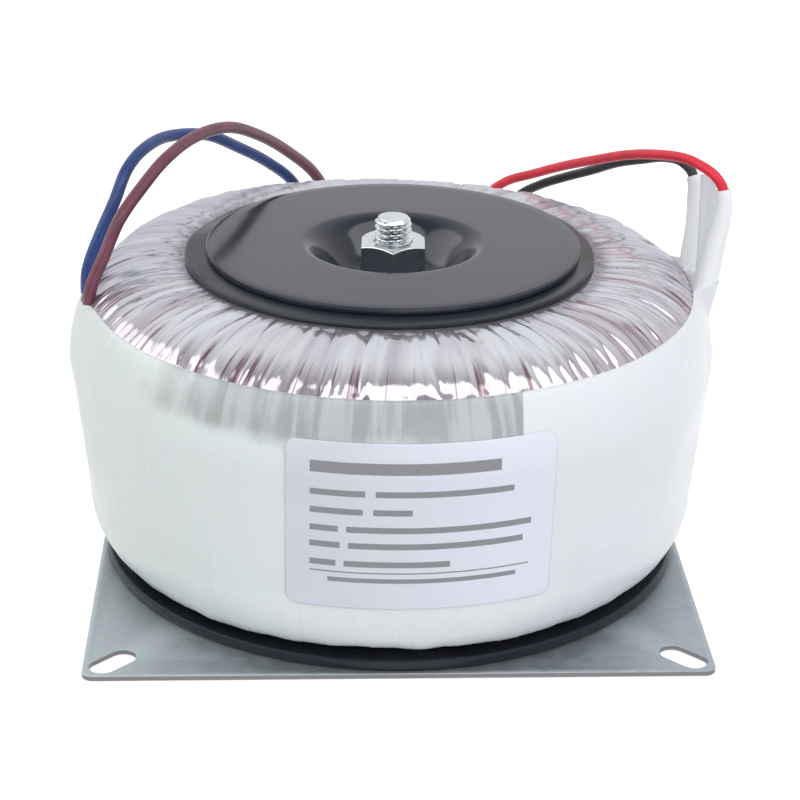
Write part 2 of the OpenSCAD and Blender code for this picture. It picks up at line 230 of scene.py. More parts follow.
# %% [markdown]
# ## Helpers for finishes
# A finish is a Principled material. What is the same all over the surface is set on the shader's own
# sockets, and what changes over the surface is wired in, because that is also what an export can
# read.

# %% Finish helpers
def new_finish(name, **sockets):
    material = bpy.data.materials.new(name)
    material.use_nodes = True
    shader = material.node_tree.nodes["Principled BSDF"]
    for label, value in sockets.items():
        shader.inputs[label.replace("_", " ")].default_value = value
    return material, material.node_tree, shader


def wire_in(tree, shader, **sockets):
    for label, output in sockets.items():
        tree.links.new(output, shader.inputs[label.replace("_", " ")])


def bump(tree, height, distance, under=None, strength=1.0):
    inputs = {"Height": height, "Distance": distance * MM, "Strength": strength}
    if under is not None:
        inputs["Normal"] = under
    return put(tree, "ShaderNodeBump", inputs).outputs[0]


print("finish helpers ready")

# %% [markdown]
# ## Helpers for pieces
# Nearly every piece here is a grid of points that is bent into its shape: a ring that is turned on a
# lathe, a tube, or a sheet. Blender can spin or extrude a drawn section, but a grid made in numbers
# lets each point be moved by a rule afterwards. `finish_piece` gives a made piece its material, lets
# it ride on the one body and says which solid it stands for.

# %% Mesh helpers
def ring_angles(count):
    return np.arange(count) * 2 * math.pi / count


def grid_faces(rows, columns, closed_rows=True, closed_columns=True, turned_over=False):
    """The faces of a grid of points, which may close on itself both ways."""
    faces = []
    for i in range(rows if closed_rows else rows - 1):
        for k in range(columns if closed_columns else columns - 1):
            this, after, right = i * columns, (i + 1) % rows * columns, (k + 1) % columns
            face = (this + k, this + right, after + right, after + k)
            faces.append(face[:1] + face[:0:-1] if turned_over else face)
    return faces


def place_mesh(name, points, faces):
    mesh = bpy.data.meshes.new(name)
    mesh.from_pydata((np.asarray(points, float) * MM).tolist(), [], faces)
    mesh.update()
    mesh.shade_smooth()
    return add_object(name, mesh)


def lathe(name, section, turns):
    """Turns a closed section of (radius, height) points round the Z axis.

    The section runs anticlockwise. There may be one for all turns, or one for each.
    """
    rings = np.broadcast_to(section, (turns, *np.shape(section)[-2:]))
    angles = ring_angles(turns)[:, None]
    points = np.stack([np.cos(angles) * rings[..., 0], np.sin(angles) * rings[..., 0],
                       rings[..., 1]], -1)
    faces = grid_faces(turns, rings.shape[1], turned_over=True)
    return place_mesh(name, points.reshape(-1, 3), faces)


def read_points(piece):
    points = np.empty(len(piece.data.vertices) * 3)
    piece.data.vertices.foreach_get("co", points)
    return points.reshape(-1, 3) / MM


def write_points(piece, points):
    piece.data.vertices.foreach_set("co", (points * MM).ravel())
    piece.data.update()


def store(piece, name, values):
    """Keeps a number on each point, for a node tree or a material to read."""
    made = piece.data.attributes.new(name, "FLOAT", "POINT")
    made.data.foreach_set("value", np.asarray(values, np.float32))


print("mesh helpers ready")

# %% Piece helpers
def finish_piece(piece, material, slot, *stands_for):
    if not piece.data.materials or piece.data.materials[0] is not material:
        piece.data.materials.clear()
        piece.data.materials.append(material)
    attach(piece, "root")
    if stands_for:
        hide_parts(*stands_for)
    if piece.type == "MESH":
        print(piece.name, "has", len(piece.data.polygons), "faces")
    else:
        print(piece.name, "has", len(piece.data.splines[0].bezier_points), "points")


def sharp_by_angle(piece, degrees):
    """Smooth shading that breaks at edges sharper than the angle."""
    bpy.context.view_layer.objects.active = piece
    piece.select_set(True)
    bpy.ops.object.shade_smooth_by_angle(angle=math.radians(degrees))
    piece.select_set(False)


def run_tree(piece, tree, **inputs):
    """Runs a node tree on a piece, and turns the result into the piece's own plain mesh."""
    names = {item.name: item.identifier
             for item in tree.interface.items_tree if item.in_out == "INPUT"}
    modifier = piece.modifiers.new(tree.name, "NODES")
    modifier.node_group = tree
    for label, value in inputs.items():
        modifier[names[label.replace("_", " ")]] = value
    graph = bpy.context.evaluated_depsgraph_get()
    made = bpy.data.meshes.new_from_object(piece.evaluated_get(graph), depsgraph=graph)
    piece.modifiers.remove(modifier)
    piece.data = made


print("piece helpers ready")

# %% [markdown]
# ## The leads
# Each lead is a soft stranded wire of a fixed length. It comes out of the film at the shoulder, arcs
# over the coil and runs down behind it to the floor. A simulated rope would hang by itself, but it
# can't be told to keep a given arch. So a lead is one smooth curve with a round bevel: its points
# are the route, the same as the solid's own, and each point's handles follow its neighbours, so that
# the bend is even.

# %% Routes of the leads
ROUTES = {
    "blue": [(-82.5, 2, 65), (-82.5, 2.5, 72), (-82, 3, 79), (-78.7, 7, 87.5), (-75, 12.5, 95),
             (-72, 20, 101.5), (-68, 29, 104.5), (-62, 42, 104.3), (-51.7, 57, 100.2),
             (-42.6, 70, 92.3), (-34.4, 81, 84.3), (-27, 89, 75.4), (-23, 94, 63), (-20, 97, 49),
             (-18, 98, 35), (-17, 99, 21), (-19, 102, 9), (-26, 109, 3), (-37, 116, 1.8),
             (-50, 119, 1.8)],
    "brown": [(-81, -14, 65), (-80.5, -13.5, 72), (-80, -13, 79), (-76.2, -9.5, 87.7),
              (-72.6, -4, 95.2), (-67.2, 5, 101.1), (-61, 16, 106), (-53.5, 31, 107.7),
              (-45, 47, 105.5), (-36.7, 62, 98.6), (-28.4, 76, 89.3), (-20.4, 87, 78.8),
              (-15, 94, 66), (-11, 97, 52), (-9, 98, 38), (-8, 99, 24), (-8, 102, 10),
              (-11, 110, 3), (-20, 120, 1.8), (-34, 126, 1.8)],
    "red": [(82, 0, 65), (83.5, 0, 72), (85, 0, 79), (87, 0, 87.5), (88.5, 0, 96), (88, 0, 102.5),
            (86, 2, 105.6), (82.6, 6.5, 107.2), (79, 12, 107.5), (73, 22, 105.4), (66.5, 34, 101.5),
            (59.5, 46, 96.3), (52, 58, 90.7), (44.5, 69, 84.8), (37, 79, 79), (31, 87, 71),
            (26.5, 93, 60), (24, 96.5, 46), (22, 98, 32), (21, 99, 18), (22.5, 104, 7),
            (30, 112, 1.5), (42, 118, 1.5), (55, 121, 1.5)],
    "black": [(81, 13, 65), (81.5, 14, 72), (82, 15, 79), (83, 16.5, 86), (83.5, 18.5, 93),
              (83.5, 20.5, 99.5), (81, 25, 102.2), (77, 31.5, 101.6), (72, 39, 98.7),
              (66, 48.5, 94.6), (60, 57.5, 89.5), (53.5, 66, 84.7), (47, 74, 79.7),
              (41, 81.5, 73.3), (36.5, 87, 62.5), (34.8, 90.3, 48.5), (34, 92, 32), (34, 94, 18),
              (36, 98, 7), (42, 106, 1.5), (53, 112, 1.5), (67, 115, 1.5)],
}
LEAD_D = {"blue": 3.4, "brown": 3.4, "red": 2.8, "black": 2.8}
print("leads:", ", ".join(ROUTES))


# %% Smooth curves
def handles(points):
    """The handles before and after each point, so that the curve runs evenly through all."""
    points = np.asarray(points, float)
    before, after = points.copy(), points.copy()
    for i in range(len(points)):
        a, b = points[max(i - 1, 0)], points[min(i + 1, len(points) - 1)]
        way = (b - a) / np.linalg.norm(b - a)
        before[i] -= way * np.linalg.norm(points[i] - a) / 3
        after[i] += way * np.linalg.norm(b - points[i]) / 3
    floor = points[:, 2].min()
    before[:, 2], after[:, 2] = np.maximum(before[:, 2], floor), np.maximum(after[:, 2], floor)
    return before, after


def along_route(points, steps):
    """Places on the same curve, with so many steps between two points."""
    points = np.asarray(points, float)
    before, after = handles(points)
    t = (np.arange(steps) / steps)[:, None]
    runs = [(1 - t) ** 3 * p + 3 * (1 - t) ** 2 * t * a + 3 * (1 - t) * t ** 2 * b + t ** 3 * q
            for p, a, b, q in zip(points[:-1], after[:-1], before[1:], points[1:])]
    return np.vstack([*runs, points[-1:]])


def distances(points):
    """How far along the line each of its points lies."""
    return np.concatenate([[0], np.cumsum(np.linalg.norm(np.diff(points, axis=0), axis=1))])


lengths = {colour: distances(along_route(route, 16))[-1] for colour, route in ROUTES.items()}
print("lead lengths in mm:", {colour: round(x, 1) for colour, x in lengths.items()})

# %% [markdown]
# The insulation is soft plastic, drawn smooth over the strands. It has a satin gloss, a faint
# unevenness from the strands below and a slightly uneven dye. One even colour would look like
# painted wire, so a broad grain moves the colour a little and a fine grain moves the gloss.

# %% Finish of the leads
def insulation(colour, dyed, dark, roughness):
    material, tree, shader = new_finish(colour + "_insulation", Roughness=roughness,
                                        Specular_IOR_Level=0.5)
    grain = use_group(tree, grain_group, Scale=160.0, Detail=3.0)
    fine = use_group(tree, grain_group, Scale=1500.0, Detail=2.0)
    wire_in(tree, shader, Base_Color=tint(tree, ramp(tree, grain, 0.35, 0.65), dark, dyed),
            Roughness=ramp(tree, fine, 0.3, 0.7, roughness - 0.06, roughness + 0.1),
            Normal=bump(tree, fine, 0.02))
    return material


LEAD_SLOT = {"blue": "blue_pvc", "brown": "brown_pvc",
             "red": "red_silicone", "black": "black_silicone"}
LEAD_FINISH = {
    "blue": insulation("blue", (0.018, 0.058, 0.235), (0.012, 0.044, 0.19), 0.34),
    "brown": insulation("brown", (0.175, 0.046, 0.085), (0.135, 0.036, 0.065), 0.34),
    "red": insulation("red", (0.82, 0.022, 0.055), (0.70, 0.015, 0.04), 0.36),
    "black": insulation("black", (0.022, 0.026, 0.034), (0.014, 0.016, 0.022), 0.36),
}
print("lead finishes:", len(LEAD_FINISH))

# %% [markdown]
# ## Bare ends of the leads
# The last 8 mm of each lead is bare, and its strands are twisted together and tinned. Each strand
# could be a curve of its own, but seven round strands along one path are just what Geometry Nodes do
# well: a small circle is put at the centre and at six points round it, all seven together are the
# profile, and the profile turns as it goes along the path.

# %% Node tree for twisted strands
STRAND_TREE = bpy.data.node_groups.new("twisted_strands", "GeometryNodeTree")


def new_inputs(tree, inputs):
    """Names a geometry tree's inputs, each with its kind of socket and its value."""
    for label, kind, value in inputs:
        made = tree.interface.new_socket(label, in_out="INPUT", socket_type="NodeSocket" + kind)
        if value is not None:
            made.default_value = value
    tree.interface.new_socket("Result", in_out="OUTPUT", socket_type="NodeSocketGeometry")
    return tree.nodes.new("NodeGroupInput").outputs


def end_tree(tree, geometry, finish):
    """Every tree ends the same way: real faces, and one material on them."""
    geometry = put(tree, "GeometryNodeRealizeInstances", {0: geometry}).outputs[0]
    inputs = {"Geometry": geometry, "Material": finish}
    put(tree, "NodeGroupOutput", {0: put(tree, "GeometryNodeSetMaterial", inputs).outputs[0]})


given = new_inputs(STRAND_TREE, (
    ("Path", "Geometry", None), ("Bundle Radius", "Float", 0.0009),
    ("Strand Radius", "Float", 0.0003), ("Turns", "Float", 1.0), ("Steps", "Int", 24),
    ("Finish", "Material", None)))
path = put(STRAND_TREE, "GeometryNodeMeshToCurve", {0: given["Path"]}).outputs[0]
path = put(STRAND_TREE, "GeometryNodeResampleCurve",
           {"Curve": path, "Count": given["Steps"]}).outputs[0]
share = put(STRAND_TREE, "GeometryNodeSplineParameter").outputs["Factor"]
twist = times(STRAND_TREE, times(STRAND_TREE, share, given["Turns"]), 2 * math.pi)
path = put(STRAND_TREE, "GeometryNodeSetCurveTilt", {"Curve": path, "Tilt": twist}).outputs[0]
ring_radius = minus(STRAND_TREE, given["Bundle Radius"], given["Strand Radius"])
ring = put(STRAND_TREE, "GeometryNodeMeshCircle", {"Vertices": 6, "Radius": ring_radius})
middle = put(STRAND_TREE, "GeometryNodeMeshLine", {"Count": 1})
spots = put(STRAND_TREE, "GeometryNodeJoinGeometry")
for mesh in (ring, middle):
    STRAND_TREE.links.new(mesh.outputs[0], spots.inputs[0])
strand = put(STRAND_TREE, "GeometryNodeCurvePrimitiveCircle",
             {"Resolution": 10, "Radius": given["Strand Radius"]}).outputs[0]
bundle = put(STRAND_TREE, "GeometryNodeInstanceOnPoints",
             {"Points": spots.outputs[0], "Instance": strand}).outputs[0]
bundle = put(STRAND_TREE, "GeometryNodeRealizeInstances", {0: bundle}).outputs[0]
strands = put(STRAND_TREE, "GeometryNodeCurveToMesh",
              {"Curve": path, "Profile Curve": bundle, "Fill Caps": True}).outputs[0]
end_tree(STRAND_TREE, strands, given["Finish"])
print("strand tree has", len(STRAND_TREE.nodes), "nodes")

# %% Bare ends
BUNDLE_D, BARE_L, STRAND_R, INSIDE_LEAD = 1.8, 8.0, 0.31, 1.0

tinned, tree, shader = new_finish("tinned_copper", Base_Color=(0.62, 0.62, 0.63, 1), Metallic=1.0)
fine = use_group(tree, grain_group, Scale=1200.0, Detail=3.0)
wire_in(tree, shader, Roughness=ramp(tree, fine, 0.3, 0.7, 0.22, 0.42),
        Normal=bump(tree, fine, 0.03))

strand_ends = {}
for colour, route in ROUTES.items():
    end, before = np.array(route[-1], float), np.array(route[-2], float)
    way = (end - before) / np.linalg.norm(end - before)
    ends = [(end - way * INSIDE_LEAD) * MM, (end + way * BARE_L) * MM]
    line = bpy.data.meshes.new(colour + "_strands")
    line.from_pydata([tuple(p) for p in ends], [(0, 1)], [])
    piece = add_object(colour + "_strands", line)
    run_tree(piece, STRAND_TREE, Bundle_Radius=BUNDLE_D / 2 * MM, Strand_Radius=STRAND_R * MM,
             Turns=1.2, Steps=28, Finish=tinned)
    piece.data.shade_smooth()
    finish_piece(piece, tinned, "tinned_strands", colour + "_tip")
    strand_ends[colour] = piece

# %% [markdown]
# ## White sleeves
# The two leads on the right come out through white woven sleeving. A bevelled curve would give a
# round rod without an inside. A real sleeve is a wall on both sides of the lead and is never quite
# round, so it is made ring by ring along the same curve as its lead: down the outside, back up the
# inside, and a little flattened, differently at every ring.

# %% Sleeves
SLEEVE_WALL, SLEEVE_POINTS = 0.6, 6
RING_STEPS, RING_POINTS = 8, 28
# Each sleeve's width and its shift to the right, at the points of its route
SLEEVE_D = {"red": (6.2, 6.2, 6.0, 5.5, 4.9, 4.3), "black": (4.5, 4.5, 4.5, 4.5, 4.5, 4.4)}
SLEEVE_SHIFT = {"red": (1.0, 1.0, 0.7, 0.0, -0.1, 0.0), "black": (0.6, 0.6, 0.6, 0.6, 0.5, 0.2)}
FLATTENED, SPREAD_OVER = 0.05, 9


def sleeve_mesh(colour, rng):
    line = along_route(ROUTES[colour], RING_STEPS)[:(SLEEVE_POINTS - 1) * RING_STEPS + 1]
    at = np.arange(len(line)) / RING_STEPS
    radii = np.interp(at, range(SLEEVE_POINTS), SLEEVE_D[colour]) / 2
    line[:, 0] += np.interp(at, range(SLEEVE_POINTS), SLEEVE_SHIFT[colour])
    ways = np.gradient(line, axis=0)
    ways /= np.linalg.norm(ways, axis=1)[:, None]
    side = np.cross(ways, (0.0, 1.0, 0.0))
    side /= np.linalg.norm(side, axis=1)[:, None]
    other = np.cross(ways, side)
    flat = np.convolve(rng.normal(0, FLATTENED, len(line) + SPREAD_OVER - 1),
                       np.ones(SPREAD_OVER) / SPREAD_OVER, "valid")
    t = ring_angles(RING_POINTS)
    rings = []
    for wall, rows in ((0, range(len(line))), (SLEEVE_WALL, range(len(line) - 1, -1, -1))):
        for i in rows:
            wide, thin = (radii[i] - wall) * (1 + flat[i]), (radii[i] - wall) * (1 - flat[i])
            rings.append(line[i] + np.outer(np.cos(t) * wide, side[i])
                         + np.outer(np.sin(t) * thin, other[i]))
    return place_mesh(colour + "_sleeving", np.vstack(rings), grid_faces(len(rings), RING_POINTS))


sleeving, tree, shader = new_finish(
    "woven_sleeving", Roughness=0.5, Specular_IOR_Level=0.35, Subsurface_Weight=0.15,
    Subsurface_Radius=(0.002, 0.002, 0.002))
soft = use_group(tree, grain_group, Scale=120.0, Detail=2.0)
fine = use_group(tree, grain_group, Scale=1400.0, Detail=3.0)
wire_in(tree, shader, Normal=bump(tree, fine, 0.04),
        Base_Color=tint(tree, ramp(tree, soft, 0.35, 0.65), (0.90, 0.925, 0.95), (0.92, 0.94, 0.975)))

rng = np.random.default_rng(5)
sleeves = {}
for colour in ("red", "black"):
    piece = sleeve_mesh(colour, rng)
    sharp_by_angle(piece, 40)
    finish_piece(piece, sleeving, "white_sleeving", colour + "_sleeve")
    sleeves[colour] = piece

# %% [markdown]
# Now each lead is drawn through its points.

# %% Leads
for colour, route in ROUTES.items():
    curve = bpy.data.curves.new(colour + "_cord", "CURVE")
    curve.dimensions, curve.use_fill_caps = "3D", True
    curve.bevel_depth = LEAD_D[colour] / 2 * MM
    curve.bevel_resolution, curve.resolution_u = 5, 8
    spline = curve.splines.new("BEZIER")
    spline.bezier_points.add(len(route) - 1)
    for point, place, back, front in zip(spline.bezier_points, route, *handles(route)):
        point.co = Vector(place) * MM
        point.handle_left = Vector(back) * MM
        point.handle_right = Vector(front) * MM
    piece = add_object(colour + "_cord", curve)
    finish_piece(piece, LEAD_FINISH[colour], LEAD_SLOT[colour], colour + "_lead")
    own = [strand_ends[colour]] + ([sleeves[colour]] if colour in sleeves else [])

# %% [markdown]
# ## Section of the coil
# The wound ring is not a plain torus: its shoulder is full and round, its foot is tighter, and its
# wall leans in a little. Such a corner could be an ellipse or a few points of a spline. A
# superellipse does it with one number for its fullness. The heights are read from the solids, so
# that the film fits between the pads.

# %% Coil section
pad_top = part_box("lower_pad")[1].z / MM
coil_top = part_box("upper_pad")[0].z / MM
COIL_R, FOOT_R, HOLE_R, HOLE_CORNER = 86.5, 82.8, 26.0, 9.0
# How far each corner reaches sideways and up, and how full it is (2 is an ellipse)
SHOULDER, FOOT, FULLNESS = (26.5, 25.5), (15.5, 17.5), 2.3
BAND_LOW, BAND_TOP = pad_top + 2.5, coil_top - 7.5


def corner(middle, size, start, stop, steps, fullness):
    """A superellipse's arc of (radius, height) points between two angles."""
    t = np.radians(np.linspace(start, stop, steps))
    c, s = np.cos(t), np.sin(t)
    return np.column_stack([middle[0] + size[0] * np.sign(c) * np.abs(c) ** (2 / fullness),
                            middle[1] + size[1] * np.sign(s) * np.abs(s) ** (2 / fullness)])


def even(points, count):
    """The same line with its points spread evenly along it."""
    run = distances(points)
    at = np.linspace(0, run[-1], count)
    return np.column_stack([np.interp(at, run, points[:, 0]), np.interp(at, run, points[:, 1])])


def outer_line(grown=0.0):
    """From the pad's edge out over the shoulder, down the wall and in to the foot."""
    top = corner((COIL_R - SHOULDER[0], coil_top - SHOULDER[1]),
                 (SHOULDER[0] + grown, SHOULDER[1] + grown), 90, 0, 600, FULLNESS)
    foot = corner((FOOT_R - FOOT[0], pad_top + FOOT[1]),
                  (FOOT[0] + grown, FOOT[1] + grown), 0, -90, 400, FULLNESS)
    return np.vstack([top, foot])


def wall_radius(line, height):
    """The line's radius at a height."""
    return np.interp(-height, -line[:, 1], line[:, 0])


def step(value, start, stop):
    """0 before start, 1 after stop, soft between them."""
    t = np.clip((value - start) / (stop - start), 0, 1)
    return t * t * (3 - 2 * t)


def swell(angle, middle, width):
    """A soft swelling round one place of the ring, in degrees."""
    return np.exp(-((angle - math.radians(middle)) / math.radians(width)) ** 2)


print("coil from", round(pad_top, 2), "to", round(coil_top, 2), "mm, band from",
      round(BAND_LOW, 2), "to", round(BAND_TOP, 2))

# %% [markdown]
# ## Folds in the film
# Film that is wound through a ring has the right length at the wall and too much towards the hole,
# so it gathers in folds that run like spokes. A cloth simulation makes folds too, but it is slow, and
# film that is wound tight hardly drapes. These folds follow a rule: long along the winding, narrow
# round the axis, and only where the film isn't held. One Geometry Nodes tree makes them. It reads
# two numbers that are stored on each point, how far *along* the winding it is and how *loose* the
# film is there, and moves the point along its normal by a broad noise and by the crests of a finer
# one. It stores both on the point, as *fold* and *crease*, for the material to read.

# %% Node tree for folds
FOLD_TREE = bpy.data.node_groups.new("film_folds", "GeometryNodeTree")
# The folds wander sideways by a slow noise, and the finer noise has a seed of its own
WANDER_COUNT, WANDER_STRETCH, FINE_SEED = 3.0, 0.02, 7.0

given = new_inputs(FOLD_TREE, (
    ("Film", "Geometry", None), ("Broad Height", "Float", 0.0006), ("Broad Count", "Float", 9.0),
    ("Fine Height", "Float", 0.0003), ("Fine Count", "Float", 32.0), ("Sharpness", "Float", 5.0),
    ("Stretch", "Float", 0.03), ("Slant", "Float", 0.001), ("Wander", "Float", 0.12),
    ("Seed", "Float", 0.0), ("Finish", "Material", None)))


def stored_number(tree, name):
    return put(tree, "GeometryNodeInputNamedAttribute", {"Name": name}, data_type="FLOAT").outputs[0]


def about_zero(tree, noise):
    return minus(tree, noise, 0.5)


along, loose = stored_number(FOLD_TREE, "along"), stored_number(FOLD_TREE, "loose")
place = split(FOLD_TREE, put(FOLD_TREE, "GeometryNodeInputPosition").outputs[0])
angle = calc(FOLD_TREE, "ARCTAN2", place["Y"], place["X"])
drift = about_zero(FOLD_TREE, noise_round(FOLD_TREE, angle, along, WANDER_COUNT, WANDER_STRETCH,
                                          1.0, given["Seed"]))
angle = plus(FOLD_TREE, plus(FOLD_TREE, angle, times(FOLD_TREE, along, given["Slant"])),
             times(FOLD_TREE, drift, given["Wander"]))
broad = noise_round(FOLD_TREE, angle, along, given["Broad Count"], given["Stretch"], 1.0,
                    given["Seed"])
broad = times(FOLD_TREE, about_zero(FOLD_TREE, broad), 2.0)
fine = noise_round(FOLD_TREE, angle, along, given["Fine Count"], given["Stretch"], 1.0,
                   plus(FOLD_TREE, given["Seed"], FINE_SEED))
away = calc(FOLD_TREE, "ABSOLUTE", about_zero(FOLD_TREE, fine))
crest = calc(FOLD_TREE, "SUBTRACT", 1.0, times(FOLD_TREE, away, given["Sharpness"]), clamp=True)
height = plus(FOLD_TREE, times(FOLD_TREE, broad, given["Broad Height"]),
              times(FOLD_TREE, crest, given["Fine Height"]))
film = given["Film"]
for label, value in (("fold", broad), ("crease", crest)):
    inputs = {"Geometry": film, "Name": label, "Value": times(FOLD_TREE, value, loose)}
    film = put(FOLD_TREE, "GeometryNodeStoreNamedAttribute", inputs,
               data_type="FLOAT", domain="POINT").outputs[0]
outwards = put(FOLD_TREE, "GeometryNodeInputNormal").outputs[0]
push = put(FOLD_TREE, "ShaderNodeVectorMath",
           {0: outwards, "Scale": times(FOLD_TREE, height, loose)}, operation="SCALE").outputs[0]
film = put(FOLD_TREE, "GeometryNodeSetPosition", {"Geometry": film, "Offset": push}).outputs[0]
end_tree(FOLD_TREE, film, given["Finish"])
print("fold tree has", len(FOLD_TREE.nodes), "nodes")

# %% [markdown]
# ## Finish of the clear film
# Many layers of clear polyester film lie over copper wire. Glass over copper would be the honest
# way to build it, but a path through that many clear layers is slow and noisy. From most sides the
# film mirrors the room like a soft metal, so one surface that is about two thirds metallic does it.
# Its colour is a pale grey that turns copper pink in streaks round the axis and over the shoulder.
# The folds' valleys are painted darker, as shade that falls in them. The turns of wire show as fine
# lines, and in the sharpest creases and in narrow cuts on the shoulder the wire shows dark red. Close
# to the pad the film is in shade, and towards the back of the coil it is wound less tight and duller.

# %% Clear film material
METALLIC, FILM_IOR, MIRROR_TINT = 0.68, 1.55, (0.70, 0.69, 0.76, 1)
COPPER_PINK, SHOULDER_PINK, VALLEY_SHADE = (0.56, 0.45, 0.49), (0.50, 0.41, 0.45), (0.40, 0.33, 0.40)
CREASE_RED, CUT_RED, WIRE_LINE = (0.30, 0.11, 0.13), (0.17, 0.075, 0.10), (0.34, 0.28, 0.31)
PAD_SHADE = (0.24, 0.24, 0.29)
# Where each begins and is full: heights, distances from the axis, and places from front to back
SHOULDER_Z, CUTS_Z = (0.0825, 0.0770), (0.0830, 0.0800)
SHADE_R, DULL_Y = (0.0575, 0.0535), (-0.01, 0.05)

clear_film, tree, shader = new_finish("wound_clear_film", Metallic=METALLIC, IOR=FILM_IOR,
                                      Specular_Tint=MIRROR_TINT)
fold = put(tree, "ShaderNodeAttribute", attribute_name="fold").outputs["Fac"]
crease = put(tree, "ShaderNodeAttribute", attribute_name="crease").outputs["Fac"]
wide = use_group(tree, streak_group, Count=5.0, Stretch=6.0, Slant=1.0, Detail=1.0)
narrow = use_group(tree, streak_group, Count=30.0, Stretch=16.0, Slant=1.0, Detail=1.0)
wires = use_group(tree, streak_group, Count=72.0, Stretch=4.0, Slant=0.0, Detail=1.0)
cuts = use_group(tree, streak_group, Count=46.0, Stretch=3.0, Slant=0.5, Detail=1.0)
place = split(tree, object_place(tree))
shoulder = ramp(tree, place["Z"], *SHOULDER_Z)

colour = tint(tree, ramp(tree, narrow, 0.35, 0.65), (0.67, 0.685, 0.745), (0.75, 0.765, 0.82))
colour = tint(tree, times(tree, ramp(tree, wide, 0.50, 0.70), 0.30), colour, COPPER_PINK)
colour = tint(tree, times(tree, shoulder, 0.5), colour, SHOULDER_PINK)
out = minus(tree, from_axis(tree, place), times(tree, narrow, 0.004))
colour = tint(tree, ramp(tree, out, *SHADE_R, 0.0, 0.75), colour, PAD_SHADE)
# painted shade: the folds' valleys are darkened
colour = tint(tree, times(tree, ramp(tree, fold, 0.05, -0.40), 0.6), colour, VALLEY_SHADE)
line = times(tree, ramp(tree, crease, 0.66, 0.92), ramp(tree, wide, 0.45, 0.62))
colour = tint(tree, times(tree, line, 0.8), colour, CREASE_RED)
turns = times(tree, ramp(tree, wires, 0.45, 0.7), ramp(tree, shoulder, 0.0, 1.0, 0.10, 0.35))
colour = tint(tree, turns, colour, WIRE_LINE)
cut = times(tree, ramp(tree, cuts, 0.58, 0.66), ramp(tree, place["Z"], *CUTS_Z, 0.0, 0.8))
colour = tint(tree, cut, colour, CUT_RED)
rough = plus(tree, ramp(tree, narrow, 0.3, 0.7, 0.07, 0.17),
             ramp(tree, place["Y"], *DULL_Y, 0.0, 0.20))
relief = bump(tree, wires, 0.09, strength=0.6)
relief = bump(tree, narrow, 0.18, relief, strength=0.6)
wire_in(tree, shader, Base_Color=colour, Roughness=rough, Normal=relief)
print("clear film has", len(tree.nodes), "nodes")

# %% [markdown]
# ## The film over the coil
# The film covers the whole ring, but only the part between the upper pad and the milky band shows.
# Even points all over would need far too many faces, so the section has close points on the part
# that shows and few in the hole and down the wall.

# %% Section of the film
PAD_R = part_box("upper_pad")[1].x / MM
FILM_TURNS, UNDER_PAD, UNDER_BAND = 1000, 1.5, 2.0

whole = outer_line()
shown = np.vstack([[[PAD_R - UNDER_PAD, coil_top]], whole[whole[:, 1] > BAND_TOP - UNDER_BAND]])
shown = even(shown, 66)
covered = even(whole[whole[:, 1] < BAND_TOP - UNDER_BAND - 0.6], 22)
rounding = (HOLE_CORNER, HOLE_CORNER)
hole_top = corner((HOLE_R + HOLE_CORNER, coil_top - HOLE_CORNER), rounding, 90, 180, 5, 2)
hole_foot = corner((HOLE_R + HOLE_CORNER, pad_top + HOLE_CORNER), rounding, 180, 270, 5, 2)
film_section = np.vstack([hole_foot, covered[::-1], shown[::-1], hole_top])
print("film section has", len(film_section), "points")

# %% [markdown]
# The film is loose between pad and band, more so on the right of the coil than on the left. At the
# back left, behind the leads, it stands off by up to 1.5 mm. Folds alone can't lift it that far, so
# the whole section is moved outwards there, with a soft start and end.

# %% Film over the coil
SLACK, SLACK_CHANGE, SLACKEST = 0.70, 0.24, -10
STAND_OFF, STAND_OFF_AT, STAND_OFF_WIDTH = 1.5, 140, 32
SECTION_MIDDLE = (55, 44)

radius, height = film_section.T
turned = ring_angles(FILM_TURNS)
run = np.gradient(film_section, axis=0)
out = np.column_stack([-run[:, 1], run[:, 0]]) / np.linalg.norm(run, axis=1)[:, None]
out *= np.sign(np.sum(out * (film_section - SECTION_MIDDLE), axis=1))[:, None]
free = step(radius, PAD_R - 0.8, PAD_R + 6.0) * step(height, BAND_TOP - 1.0, BAND_TOP + 3.0)
lift = np.outer(STAND_OFF * swell(turned, STAND_OFF_AT, STAND_OFF_WIDTH), free)
film_wrap = lathe("film_wrap", film_section + out * lift[:, :, None], FILM_TURNS)

loose = step(radius, PAD_R - 0.8, PAD_R + 2.4) * step(height, BAND_TOP - 1.2, BAND_TOP + 1.6)
slack = SLACK + SLACK_CHANGE * np.cos(turned - math.radians(SLACKEST))
store(film_wrap, "loose", np.outer(slack, loose).ravel())
store(film_wrap, "along", np.tile(distances(film_section), FILM_TURNS))
run_tree(film_wrap, FOLD_TREE, Broad_Height=0.95 * MM, Broad_Count=12.0, Fine_Height=-0.60 * MM,
         Fine_Count=14.0, Sharpness=10.0, Stretch=0.015, Slant=0.0010, Wander=0.14, Seed=2.0,
         Finish=clear_film)
finish_piece(film_wrap, clear_film, "clear_film", "outer_wrap")
